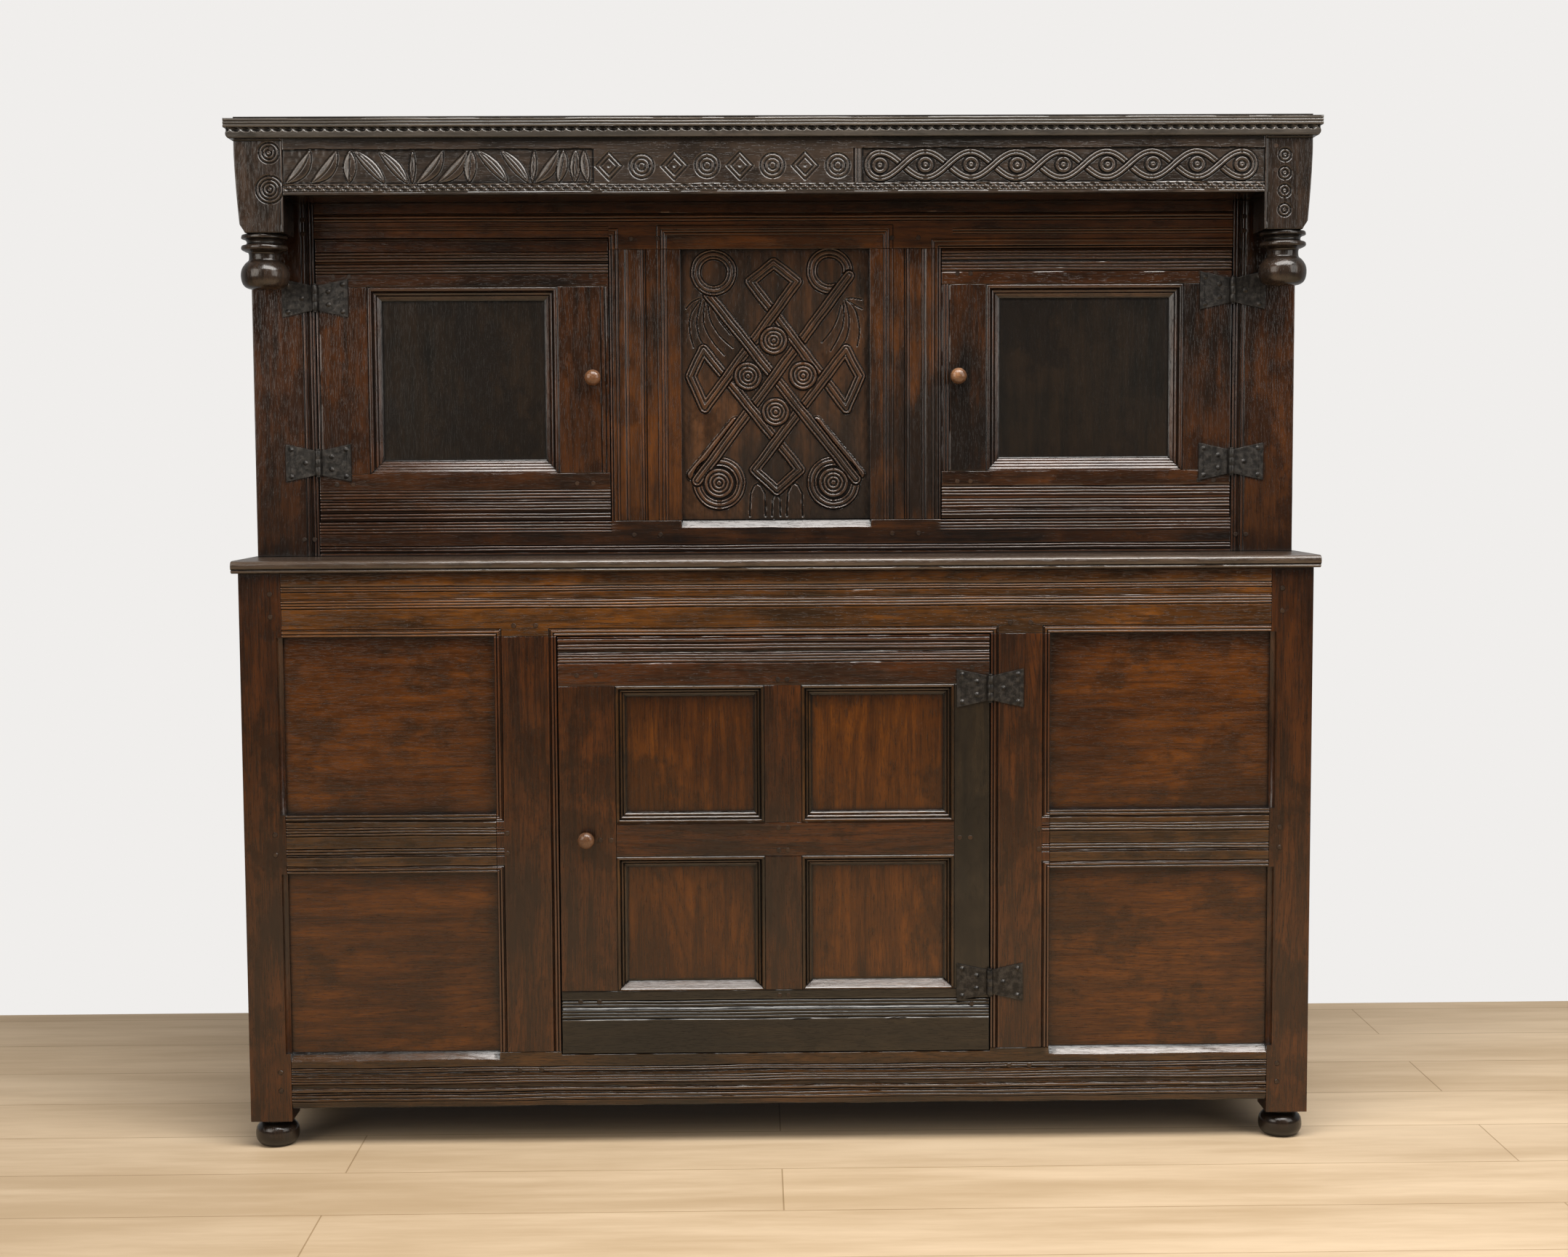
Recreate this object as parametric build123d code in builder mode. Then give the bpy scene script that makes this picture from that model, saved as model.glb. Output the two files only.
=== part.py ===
"""Joined oak court cupboard, in millimetres.

X runs to the right as the cupboard is faced, Y runs from the front to the back and Z upwards.
The origin is on the floor, under the middle of the whole cupboard.
"""
import os

from build123d import *

os.makedirs("parts", exist_ok=True)

# The case
case_width = 1700
case_depth = 545
underside = 65  # floor to the underside of the rails
sill_height = 143  # floor to the front arris of the bottom rail
waist_height = 926  # floor to the underside of the ledge board
top_height = 1641
frieze_height = 122  # from the head of the carved stage to the top of the boards
upper_setback = 142  # the upper front stands this far behind the lower front
frieze_setback = 38  # and the frieze this far

# Timbers of the frame
frame_thickness = 34
post_face = 66
front_post_depth = 60
rear_post_face = 50
rear_post_depth = 60
rear_rail_thickness = 26
upper_side_thickness = 22
board_thickness = 15
ledge_thickness = 20
ledge_overhang = 14
ledge_end_overhang = 9
top_board_thickness = 16
back_board_thickness = 10
panel_thickness = 8

# Lower front, from left to right and from the sill up
left_bay = 334
left_muntin_face = 99
lower_door_bay = 688
right_muntin_face = 95
waist_rail_height = 102
mid_rail_bottom = 446
mid_rail_height = 95
door_sill_rise = 7
sill_splay = 12

# Upper front, from either end to the middle and from the ledge up
upper_stile_face = 102
upper_door_bay = 478
upper_muntin_face = 116
upper_bottom_rail_height = 56
upper_top_rail_height = 76
left_head_rise = 19  # the left door is this much taller than the right one
carved_sill_drop = 8

# Frieze, pendants, cornice and boards
frieze_post_side = 76
frieze_rail_thickness = 30
pendant_drop = 58  # the corner posts hang this far below the frieze
pendant_height = 87
pendant_radius = 38
cornice_height = 30
cornice_projection = 13
cornice_top_drop = 4
soffit_thickness = 12
foot_height = 45
foot_radius = 35
top_board_count = 4
back_board_count = 8
bottom_board_count = 5
deck_board_count = 3

# Doors
door_thickness = 26
door_gap = 1.5
left_door_stile = 83
left_door_head_rail = 77
right_door_lock_stile = 73
right_door_hinge_stile = 79
right_door_head_rail = 57
upper_foot_rail = 77
upper_moulding_width = 22
lower_lock_stile = 90
lower_hinge_stile = 56
lower_door_left_bay = 236.5
lower_door_muntin = 59
lower_head_rail = 78.5
lower_door_mid_rail = 54
lower_foot_rail = 101.5
lower_foot_panel = 217
lower_moulding_width = 17
moulding_proud = 2
door_stop_height = 12

# Knobs and the catches behind them
knob_radius = 13.5
knob_reach = 30
knob_inset = 26  # from the free edge of an upper door
lower_knob_inset = 43
left_knob_rise = 3  # above the middle of its door
right_knob_rise = 12.5
lower_knob_rise = 13
spindle_radius = 6
spindle_collar = 9  # radius
catch_lap = 20  # how far a turned catch reaches behind the frame
catch_hub_radius = 10
catch_width = 16
catch_thickness = 12

# Butterfly hinges
leaf_length = 53  # from the pin to a leaf's end
leaf_end_height = 61
leaf_waist_height = 40
leaf_thickness = 2.2
knuckle_radius = 5
hinge_pin_radius = 2.4
left_hinge_insets = (95.5, 94.5)  # from the door's foot and from its head
right_hinge_insets = (90.5, 68.5)
lower_hinge_insets = (111.5, 85.5)
nail_head_radius = 4.5
nail_head_height = 2.4
nail_shank_radius = 1.5
nail_length = 16

# Joints
tenon_thickness = 10
tenon_length = 34
tenon_shoulder = 15
rear_tenon_length = 24
groove_depth = 9
panel_setback = 13
side_panel_setback = 7
floor_rebate = 10
door_stub_length = 18  # the tenons of a door's muntins
dowel_radius = 11
dowel_length = 32
peg_radius = 4
peg_length = 23
peg_proud = 0.7
fit_gap = 0.2  # between pieces that are pushed together
running_gap = 0.05  # round a pin or spindle that turns
knuckle_gap = 0.3
board_gap = 1

# Mouldings
reed_radius = 2.2
reed_quirk = 0.6
edge_mould_width = 16
edge_mould_depth = 8
edge_mould_quirk = 1.5
ledge_round = 4

# Planes that the pieces share
half_width = case_width / 2
front = -(case_depth - knob_reach) / 2
rear = front + case_depth
upper_front = front + upper_setback
frieze_front = front + frieze_setback
upper_back = upper_front + frame_thickness
side_front = front + front_post_depth
side_rear = rear - rear_post_depth
board_plane = rear - back_board_thickness
ledge_top = waist_height + ledge_thickness
beam_top = top_height - top_board_thickness
post_inner = half_width - post_face
rear_post_inner = half_width - rear_post_face
side_inner = half_width - frame_thickness
upper_side_inner = half_width - upper_side_thickness

left_muntin = (-post_inner + left_bay, -post_inner + left_bay + left_muntin_face)
lower_door_opening = (left_muntin[1], left_muntin[1] + lower_door_bay)
right_muntin = (lower_door_opening[1], lower_door_opening[1] + right_muntin_face)
left_bay_x = (-post_inner, left_muntin[0])
right_bay_x = (right_muntin[1], post_inner)
sill_top = sill_height + sill_splay
waist_rail_z = (waist_height - waist_rail_height, waist_height)
bottom_rail_z = (underside, sill_top)
mid_rail_z = (mid_rail_bottom, mid_rail_bottom + mid_rail_height)
lower_panel_z = (sill_top, mid_rail_z[0])
middle_panel_z = (mid_rail_z[1], waist_rail_z[0])
lower_opening_z = (sill_height + door_sill_rise, waist_rail_z[0])

upper_stile_inner = half_width - upper_stile_face
upper_muntin_outer = upper_stile_inner - upper_door_bay
upper_muntin_inner = upper_muntin_outer - upper_muntin_face
upper_rail_z = (ledge_top, ledge_top + upper_bottom_rail_height)
frieze_underside = top_height - frieze_height
head_rail_z = (frieze_underside - upper_top_rail_height, frieze_underside)
carved_sill = upper_rail_z[1] + sill_splay - carved_sill_drop
left_door_opening = (-upper_stile_inner, -upper_muntin_outer)
right_door_opening = (upper_muntin_outer, upper_stile_inner)
left_opening_z = (upper_rail_z[1], head_rail_z[0] + left_head_rise)
right_opening_z = (upper_rail_z[1], head_rail_z[0])
side_rail_z = (waist_height, upper_rail_z[1])
side_panel_z = (upper_rail_z[1], frieze_underside)
frieze_post_inner = half_width - frieze_post_side
frieze_back = frieze_front + frieze_rail_thickness
frieze_post_back = frieze_front + frieze_post_side
frieze_z = (frieze_underside, beam_top)
post_bottom = frieze_underside - pendant_drop


def block(x, y, z, mode=Mode.ADD):
    """A squared timber between pairs of X, Y and Z planes."""
    with Locations(((x[0] + x[1]) / 2, (y[0] + y[1]) / 2, (z[0] + z[1]) / 2)):
        Box(x[1] - x[0], y[1] - y[0], z[1] - z[0], mode=mode)


def grown(span, gap=fit_gap):
    """A span with a gap added at both ends."""
    return (span[0] - gap, span[1] + gap)


def mirrored(side, near, far):
    """The X span between two distances from the middle, on the left (-1) or the right (1)."""
    return tuple(sorted((side * near, side * far)))


def middle_third(face, thickness):
    """Where a tenon lies in a timber of this thickness behind its face."""
    return (face + (thickness - tenon_thickness) / 2, face + (thickness + tenon_thickness) / 2)


def rail_tenon(shoulder, toward, z, length=tenon_length):
    """X and Z spans of the tenon at a rail's end, pointing to the left (-1) or the right (1)."""
    x = tuple(sorted((shoulder, shoulder + toward * length)))
    return x, (z[0] + tenon_shoulder, z[1] - tenon_shoulder)


def muntin_tenon(x, shoulder, toward, length=tenon_length):
    """X and Z spans of the tenon at a muntin's end, pointing down (-1) or up (1)."""
    return (x[0] + tenon_shoulder, x[1] - tenon_shoulder), tuple(sorted((shoulder, shoulder + toward * length)))


def peg_points(tenons):
    """Two pegs through each tenon, a quarter of its width in from its edges."""
    points = []
    for x, z in tenons:
        for share in (0.25, 0.75):
            if z[1] - z[0] > x[1] - x[0]:
                points.append(((x[0] + x[1]) / 2, z[0] + share * (z[1] - z[0])))
            else:
                points.append((x[0] + share * (x[1] - x[0]), (z[0] + z[1]) / 2))
    return points


def front_plane(y):
    """A plane across the cupboard at y, with its normal to the back, its x to the right and its y down."""
    return Plane(origin=(0, y, 0), x_dir=(1, 0, 0), z_dir=(0, 1, 0))


def upright_plane(x, y, z):
    """The plane of a turning's outline: its x is the radius and its y points up."""
    return Plane(origin=(x, y, z), x_dir=(1, 0, 0), z_dir=(0, -1, 0))


def rods(y, points, radius, length, mode=Mode.ADD):
    """Round rods, or holes, from y towards the back, at points (x, z)."""
    with BuildSketch(front_plane(y)) as circles:
        with Locations(*[(x, -z) for x, z in points]):
            Circle(radius)
    extrude(circles.sketch, amount=length, mode=mode)


def side_rods(side, points, radius, length, mode=Mode.ADD, start=half_width):
    """The same from a side of the case towards the middle, at points (y, z)."""
    with BuildSketch(Plane(origin=(side * start, 0, 0), x_dir=(0, 1, 0), z_dir=(-side, 0, 0))) as circles:
        with Locations(*[(y, -side * z) for y, z in points]):
            Circle(radius)
    extrude(circles.sketch, amount=length, mode=mode)


def cut_joints(tenons, face, thickness=frame_thickness):
    """The mortises for these tenons and the peg holes through them."""
    for x, z in tenons:
        block(grown(x), grown(middle_third(face, thickness)), grown(z), Mode.SUBTRACT)
    rods(face, peg_points(tenons), peg_radius + fit_gap / 2, peg_length, Mode.SUBTRACT)


def add_tenons(tenons, face, thickness=frame_thickness):
    """A timber's own tenons, drilled for their pegs."""
    for x, z in tenons:
        block(x, middle_third(face, thickness), z)
    rods(face, peg_points(tenons), peg_radius + fit_gap / 2, peg_length, Mode.SUBTRACT)


def side_tenon_x(side, thickness=frame_thickness):
    """X span of the tenons of the side rails."""
    near = half_width - (thickness + tenon_thickness) / 2
    return mirrored(side, near, near + tenon_thickness)


def groove(x, z, face):
    """The groove round a panel opening."""
    y = grown((face + panel_setback, face + panel_setback + panel_thickness))
    block(grown(x, groove_depth), y, grown(z, groove_depth), Mode.SUBTRACT)


def panel(x, z, face):
    """A panel that fills its opening and stands in the groove round it."""
    y = (face + panel_setback, face + panel_setback + panel_thickness)
    block(grown(x, groove_depth - board_gap), y, grown(z, groove_depth - board_gap))


def reeds(start, run, across, length, count):
    """Scratch-stock reeds, level with the face, side by side from start along the direction across."""
    pitch = 2 * reed_radius + reed_quirk
    width = count * pitch + reed_quirk
    with BuildSketch(Plane(origin=start, x_dir=across, z_dir=run)) as band:
        with Locations((width / 2, reed_radius / 2)):
            Rectangle(width, reed_radius)
        with Locations(*[(reed_quirk + reed_radius + i * pitch, reed_radius) for i in range(count)]):
            Circle(reed_radius, mode=Mode.SUBTRACT)
    extrude(band.sketch, amount=length, mode=Mode.SUBTRACT)


def rail_reeds(x, top, face, count):
    """Reeds along a rail, from the height top downwards."""
    reeds((x[0], face, top), (1, 0, 0), (0, 0, -1), x[1] - x[0], count)


def stile_reeds(left, z, face, count):
    """Reeds up a stile, from the line left towards the right."""
    reeds((left, face, z[0]), (0, 0, 1), (1, 0, 0), z[1] - z[0], count)


def edge_mould(start, run, across, length, width=edge_mould_width):
    """The ovolo run on the edge of an opening: start is on the edge, across points into the timber."""
    with BuildSketch(Plane(origin=start, x_dir=across, z_dir=run)) as hollow:
        with BuildLine():
            Polyline((0, edge_mould_depth), (0, 0), (width, 0), (width, edge_mould_quirk))
            RadiusArc((width, edge_mould_quirk), (0, edge_mould_depth), -1.1 * width)
        make_face()
    extrude(hollow.sketch, amount=length, mode=Mode.SUBTRACT)


def mould_below(x, z, face):
    """The ovolo on a rail's lower edge."""
    edge_mould((x[1], face, z), (-1, 0, 0), (0, 0, 1), x[1] - x[0])


def mould_above(x, z, face):
    """The ovolo on a rail's upper edge."""
    edge_mould((x[0], face, z), (1, 0, 0), (0, 0, -1), x[1] - x[0])


def mould_right(x, z, face, width=edge_mould_width):
    """The ovolo on a timber that stands at the right of an opening, whose edge is at x."""
    edge_mould((x, face, z[0]), (0, 0, 1), (1, 0, 0), z[1] - z[0], width)


def mould_left(x, z, face, width=edge_mould_width):
    """The ovolo on a timber that stands at the left of an opening, whose edge is at x."""
    edge_mould((x, face, z[1]), (0, 0, -1), (-1, 0, 0), z[1] - z[0], width)


def splay(x, top, face):
    """The sloping sill at the foot of a panel, cut back from the face up to the height top."""
    with BuildSketch(Plane(origin=(x[0], face, top), x_dir=(0, 1, 0), z_dir=(1, 0, 0))) as wedge:
        with BuildLine():
            Polyline((0, 0), (sill_splay, 0), (0, -sill_splay), (0, 0))
        make_face()
    extrude(wedge.sketch, amount=x[1] - x[0], mode=Mode.SUBTRACT)


# ---------------------------------------------------------------- hinges
def pin_place(opening, hinge_side, face):
    """X and Y of a door's hinge pins: over the gap at the door's edge, just clear of the faces."""
    x = opening[0] + door_gap / 2 if hinge_side < 0 else opening[1] - door_gap / 2
    return x, face - knuckle_radius - knuckle_gap


def hinge_heights(door_z, insets):
    """The middles of a door's two hinges."""
    return door_z[0] + insets[0], door_z[1] - insets[1]


left_door_z = grown(left_opening_z, -door_gap)
right_door_z = grown(right_opening_z, -door_gap)
lower_door_z = grown(lower_opening_z, -door_gap)
left_hinge_heights = hinge_heights(left_door_z, left_hinge_insets)
right_hinge_heights = hinge_heights(right_door_z, right_hinge_insets)
lower_hinge_heights = hinge_heights(lower_door_z, lower_hinge_insets)
left_pin = pin_place(left_door_opening, -1, upper_front)
right_pin = pin_place(right_door_opening, 1, upper_front)
lower_pin = pin_place(lower_door_opening, 1, front)
frame_knuckles = (
    (-leaf_waist_height / 2, -leaf_waist_height / 6),
    (leaf_waist_height / 6, leaf_waist_height / 2),
)
door_knuckles = ((knuckle_gap - leaf_waist_height / 6, leaf_waist_height / 6 - knuckle_gap),)


def nail_points(pin_x, heights, toward, count):
    """X and Z of the nails through the leaves on one side of the pins."""
    far = 0.84 * leaf_length
    near = 0.4 * leaf_length
    spots = [(far, 0.36 * leaf_end_height), (far, -0.36 * leaf_end_height)]
    if count == 3:
        spots.append((near, 0))
    else:
        spots += [(near, 0.26 * leaf_waist_height), (near, -0.26 * leaf_waist_height)]
    return [(pin_x + toward * x, middle + z) for middle in heights for x, z in spots]


left_frame_nails = nail_points(left_pin[0], left_hinge_heights, -1, 3)
right_frame_nails = nail_points(right_pin[0], right_hinge_heights, 1, 3)
lower_frame_nails = nail_points(lower_pin[0], lower_hinge_heights, 1, 3)


def drill_nails(face, points):
    """The holes that nails make in the timber behind a leaf."""
    rods(face, points, nail_shank_radius + fit_gap / 2, nail_length, Mode.SUBTRACT)


def leaves(pin, heights, face, toward, knuckles, nails):
    """The butterfly leaves on one side of a pin, each with its knuckles."""
    inner = knuckle_radius + knuckle_gap
    for middle in heights:
        with BuildSketch(front_plane(face - leaf_thickness)) as plate:
            with Locations((pin[0], -middle)):
                Polygon(
                    (toward * inner, -leaf_waist_height / 2),
                    (toward * leaf_length, -leaf_end_height / 2),
                    (toward * leaf_length, leaf_end_height / 2),
                    (toward * inner, leaf_waist_height / 2),
                    align=None,
                )
            for low, high in knuckles:
                with Locations((pin[0] + toward * knuckle_radius * 0.75, -middle - (low + high) / 2)):
                    Rectangle(knuckle_radius * 1.5, high - low)
        extrude(plate.sketch, amount=leaf_thickness)
        for low, high in knuckles:
            with Locations((pin[0], pin[1], middle + low)):
                Cylinder(knuckle_radius, high - low, align=(Align.CENTER, Align.CENTER, Align.MIN))
        with Locations((pin[0], pin[1], middle)):
            Cylinder(hinge_pin_radius + running_gap, 2 * leaf_waist_height, mode=Mode.SUBTRACT)
    rods(face - leaf_thickness, nails, nail_shank_radius + fit_gap / 2, leaf_thickness, Mode.SUBTRACT)


def rose_nails(face, points):
    """Hand-made nails: a low faceted head on the leaf and a shank in the timber."""
    rods(face - leaf_thickness, points, nail_shank_radius, nail_length - 1)
    with BuildSketch(front_plane(face - leaf_thickness)) as heads:
        with Locations(*[(x, -z) for x, z in points]):
            RegularPolygon(nail_head_radius, 7)
    extrude(heads.sketch, amount=-nail_head_height, taper=50)


def write(piece, name):
    """Labels a finished piece and writes it to its own STEP file."""
    piece.label = name
    export_step(piece, "parts/" + name + ".step")


# ---------------------------------------------------------------- lower front frame
bottom_tenons = [rail_tenon(-post_inner, -1, bottom_rail_z), rail_tenon(post_inner, 1, bottom_rail_z)]
waist_tenons = [rail_tenon(-post_inner, -1, waist_rail_z), rail_tenon(post_inner, 1, waist_rail_z)]
lower_muntin_tenons = []
for span in (left_muntin, right_muntin):
    lower_muntin_tenons.append(muntin_tenon(span, sill_height, -1))
    lower_muntin_tenons.append(muntin_tenon(span, waist_rail_z[0], 1))
mid_tenons = []
for span in (left_bay_x, right_bay_x):
    mid_tenons.append(rail_tenon(span[0], -1, mid_rail_z))
    mid_tenons.append(rail_tenon(span[1], 1, mid_rail_z))

# Tenons of the side rails, as spans along Y and Z
lower_side_rails = [bottom_rail_z, mid_rail_z, waist_rail_z]
side_tenons_front = [
    ((side_front - tenon_length, side_front), (z[0] + tenon_shoulder, z[1] - tenon_shoulder))
    for z in lower_side_rails
]
side_tenons_rear = [
    ((side_rear, side_rear + tenon_length), (z[0] + tenon_shoulder, z[1] - tenon_shoulder))
    for z in lower_side_rails
]
upper_tenon_length = frame_thickness - tenon_shoulder
upper_side_tenon_front = (
    (upper_back - upper_tenon_length, upper_back),
    (side_rail_z[0] + tenon_shoulder + ledge_thickness, side_rail_z[1] - tenon_shoulder),
)
upper_side_tenon_rear = (
    (side_rear, side_rear + tenon_length),
    (side_rail_z[0] + tenon_shoulder, side_rail_z[1] - tenon_shoulder),
)
top_side_tenon_front = (
    (frieze_post_back - tenon_length, frieze_post_back),
    (frieze_z[0] + tenon_shoulder, frieze_z[1] - tenon_shoulder),
)
top_side_tenon_rear = (
    (side_rear, side_rear + tenon_length),
    (frieze_z[0] + tenon_shoulder, frieze_z[1] - tenon_shoulder),
)
side_opening_y = (side_front, side_rear)
upper_side_opening_y = (upper_back, side_rear)


def side_mortises(side, tenons, thickness=frame_thickness):
    """The mortises for side rails and their peg holes, in a post."""
    for y, z in tenons:
        block(grown(side_tenon_x(side, thickness)), grown(y), grown(z), Mode.SUBTRACT)
    side_rods(side, peg_points(tenons), peg_radius + fit_gap / 2, peg_length, Mode.SUBTRACT)


def side_tenons(side, tenons, thickness=frame_thickness):
    """The tenons of a side rail, drilled for their pegs."""
    for y, z in tenons:
        block(side_tenon_x(side, thickness), y, z)
    side_rods(side, peg_points(tenons), peg_radius + fit_gap / 2, peg_length, Mode.SUBTRACT)


def side_groove(side, y, z):
    """The groove round a side panel."""
    near = half_width - side_panel_setback - panel_thickness
    x = grown(mirrored(side, near, near + panel_thickness))
    block(x, grown(y, groove_depth), grown(z, groove_depth), Mode.SUBTRACT)


with BuildPart() as front_posts:
    for side in (-1, 1):
        block(mirrored(side, post_inner, half_width), (front, side_front), (foot_height, waist_height))
    cut_joints(bottom_tenons + waist_tenons + [mid_tenons[0], mid_tenons[3]], front)
    for z in (lower_panel_z, middle_panel_z):
        groove(left_bay_x, z, front)
        groove(right_bay_x, z, front)
        mould_left(left_bay_x[0], z, front, edge_mould_width / 2)
        mould_right(right_bay_x[1], z, front, edge_mould_width / 2)
    for side in (-1, 1):
        side_mortises(side, side_tenons_front)
        side_groove(side, side_opening_y, lower_panel_z)
        side_groove(side, side_opening_y, middle_panel_z)
    foot_centre = half_width - foot_radius
    with Locations(*[(side * foot_centre, front + foot_radius, foot_height) for side in (-1, 1)]):
        Cylinder(
            dowel_radius + fit_gap,
            dowel_length + board_gap,
            align=(Align.CENTER, Align.CENTER, Align.MIN),
            mode=Mode.SUBTRACT,
        )
write(front_posts.part, "front_posts")

with BuildPart() as front_feet:
    for side in (-1, 1):
        with BuildSketch(upright_plane(side * foot_centre, front + foot_radius, 0)):
            with BuildLine():
                base = Polyline((0, foot_height), (0, 0), (0.55 * foot_radius, 0))
                bun = ThreePointArc(
                    base @ 1,
                    (foot_radius, 0.45 * foot_height),
                    (0.72 * foot_radius, 0.86 * foot_height),
                )
                Polyline(bun @ 1, (0.72 * foot_radius, foot_height), (0, foot_height))
            make_face()
            with Locations((dowel_radius / 2, foot_height + dowel_length / 2)):
                Rectangle(dowel_radius, dowel_length)
        revolve(axis=Axis((side * foot_centre, front + foot_radius, 0), (0, 0, 1)))
write(front_feet.part, "front_feet")

with BuildPart() as bottom_rail:
    block((-post_inner, post_inner), (front, front + frame_thickness), bottom_rail_z)
    add_tenons(bottom_tenons, front)
    # The floor boards lie in a rebate behind
    rebate_y = (front + frame_thickness - floor_rebate, front + frame_thickness)
    block((-post_inner, post_inner), rebate_y, (sill_height - board_thickness, sill_top), Mode.SUBTRACT)
    # Sills: sloping at the panels, flat under the door, lower where a muntin stands on the rail
    for x in (left_bay_x, right_bay_x):
        splay(x, sill_top, front)
        groove(x, lower_panel_z, front)
    block(lower_door_opening, (front, front + frame_thickness), (lower_opening_z[0], sill_top), Mode.SUBTRACT)
    for x in (left_muntin, right_muntin):
        block(x, (front, front + frame_thickness), (sill_height, sill_top), Mode.SUBTRACT)
    cut_joints([lower_muntin_tenons[0], lower_muntin_tenons[2]], front)
    whole_rail = (-post_inner, post_inner)
    rail_reeds(whole_rail, sill_height - 12, front, 2)
    rail_reeds(whole_rail, sill_height - 27, front, 3)
    rail_reeds(whole_rail, underside + 25, front, 1)
    rail_reeds(whole_rail, underside + 14, front, 2)
write(bottom_rail.part, "bottom_rail")

with BuildPart() as waist_rail:
    block((-post_inner, post_inner), (front, front + frame_thickness), waist_rail_z)
    add_tenons(waist_tenons, front)
    cut_joints([lower_muntin_tenons[1], lower_muntin_tenons[3]], front)
    for x in (left_bay_x, right_bay_x):
        groove(x, middle_panel_z, front)
        mould_below(x, waist_rail_z[0], front)
    rail_reeds(whole_rail, waist_height - 25, front, 1)
    rail_reeds(whole_rail, waist_height - 48, front, 2)
    rail_reeds(lower_door_opening, waist_rail_z[0] + 18, front, 3)
write(waist_rail.part, "waist_rail")

with BuildPart() as lower_muntins:
    for x in (left_muntin, right_muntin):
        block(x, (front, front + frame_thickness), (sill_height, waist_rail_z[0]))
    add_tenons(lower_muntin_tenons, front)
    for z in (lower_panel_z, middle_panel_z):
        groove(left_bay_x, z, front)
        groove(right_bay_x, z, front)
        mould_right(left_bay_x[1], z, front, edge_mould_width + 4)
        mould_left(right_bay_x[0], z, front, edge_mould_width / 2)
    cut_joints([mid_tenons[1], mid_tenons[2]], front)
    stile_reeds(left_muntin[0] + 38, (sill_top + 6, waist_rail_z[0]), front, 2)
    stile_reeds(right_muntin[0] + 8, (sill_top + 6, waist_rail_z[0]), front, 2)
    stile_reeds(right_muntin[1] - 34, (sill_top + 6, waist_rail_z[0]), front, 2)
    drill_nails(front, lower_frame_nails)
write(lower_muntins.part, "lower_muntins")

with BuildPart() as mid_rails:
    for x in (left_bay_x, right_bay_x):
        block(x, (front, front + frame_thickness), mid_rail_z)
    add_tenons(mid_tenons, front)
    for x in (left_bay_x, right_bay_x):
        for z in (lower_panel_z, middle_panel_z):
            groove(x, z, front)
        mould_below(x, mid_rail_z[0], front)
        mould_above(x, mid_rail_z[1], front)
        rail_reeds(x, mid_rail_z[1] - 30, front, 2)
        rail_reeds(x, mid_rail_z[0] + 38, front, 2)
write(mid_rails.part, "mid_rails")

with BuildPart() as front_panels:
    for x in (left_bay_x, right_bay_x):
        for z in (lower_panel_z, middle_panel_z):
            panel(x, z, front)
write(front_panels.part, "front_panels")

# ---------------------------------------------------------------- sides and back
rear_rail_z = {
    "bottom": (underside, sill_height - board_thickness),
    "waist": (waist_height - 0.8 * waist_rail_height, waist_height),
    "top": (beam_top - 0.9 * mid_rail_height, beam_top),
}
rear_rail_y = (board_plane - rear_rail_thickness, board_plane)
rear_tenons = []
for z in rear_rail_z.values():
    rear_tenons.append(rail_tenon(-rear_post_inner, -1, z, rear_tenon_length))
    rear_tenons.append(rail_tenon(rear_post_inner, 1, z, rear_tenon_length))
rear_tenon_y = middle_third(rear_rail_y[0], rear_rail_thickness)

with BuildPart() as rear_posts:
    for side in (-1, 1):
        block(mirrored(side, rear_post_inner, half_width), (side_rear, rear), (0, beam_top))
        side_mortises(side, side_tenons_rear + [top_side_tenon_rear])
        side_mortises(side, [upper_side_tenon_rear], upper_side_thickness)
        side_groove(side, side_opening_y, lower_panel_z)
        side_groove(side, side_opening_y, middle_panel_z)
        side_groove(side, upper_side_opening_y, side_panel_z)
    for x, z in rear_tenons:
        block(grown(x), grown(rear_tenon_y), grown(z), Mode.SUBTRACT)
write(rear_posts.part, "rear_posts")

with BuildPart() as rear_rails:
    for z in rear_rail_z.values():
        block((-rear_post_inner, rear_post_inner), rear_rail_y, z)
    for x, z in rear_tenons:
        block(x, rear_tenon_y, z)
write(rear_rails.part, "rear_rails")

stile_foot_y = (upper_front + tenon_shoulder / 3, upper_back - tenon_shoulder / 3)
stile_foot_z = (waist_height - tenon_length, ledge_top)
stile_head_z = (frieze_underside, frieze_underside + tenon_length)

with BuildPart() as side_rails:
    for side in (-1, 1):
        for z in lower_side_rails:
            block(mirrored(side, side_inner, half_width), side_opening_y, z)
        block(mirrored(side, upper_side_inner, half_width), upper_side_opening_y, grown(side_rail_z, -fit_gap))
        block(mirrored(side, side_inner, half_width), (frieze_post_back, side_rear), frieze_z)
        side_tenons(side, side_tenons_front + side_tenons_rear + [top_side_tenon_front, top_side_tenon_rear])
        side_tenons(side, [upper_side_tenon_front, upper_side_tenon_rear], upper_side_thickness)
        for z in (lower_panel_z, middle_panel_z):
            side_groove(side, side_opening_y, z)
        side_groove(side, upper_side_opening_y, side_panel_z)
        for z in (stile_foot_z, stile_head_z):
            block(grown(side_tenon_x(side)), grown(stile_foot_y), grown(z), Mode.SUBTRACT)
write(side_rails.part, "side_rails")

with BuildPart() as side_panels:
    for side in (-1, 1):
        near = half_width - side_panel_setback - panel_thickness
        x = mirrored(side, near, near + panel_thickness)
        for z in (lower_panel_z, middle_panel_z):
            block(x, grown(side_opening_y, groove_depth - board_gap), grown(z, groove_depth - board_gap))
        block(
            x,
            grown(upper_side_opening_y, groove_depth - board_gap),
            grown(side_panel_z, groove_depth - board_gap),
        )
write(side_panels.part, "side_panels")


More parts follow.
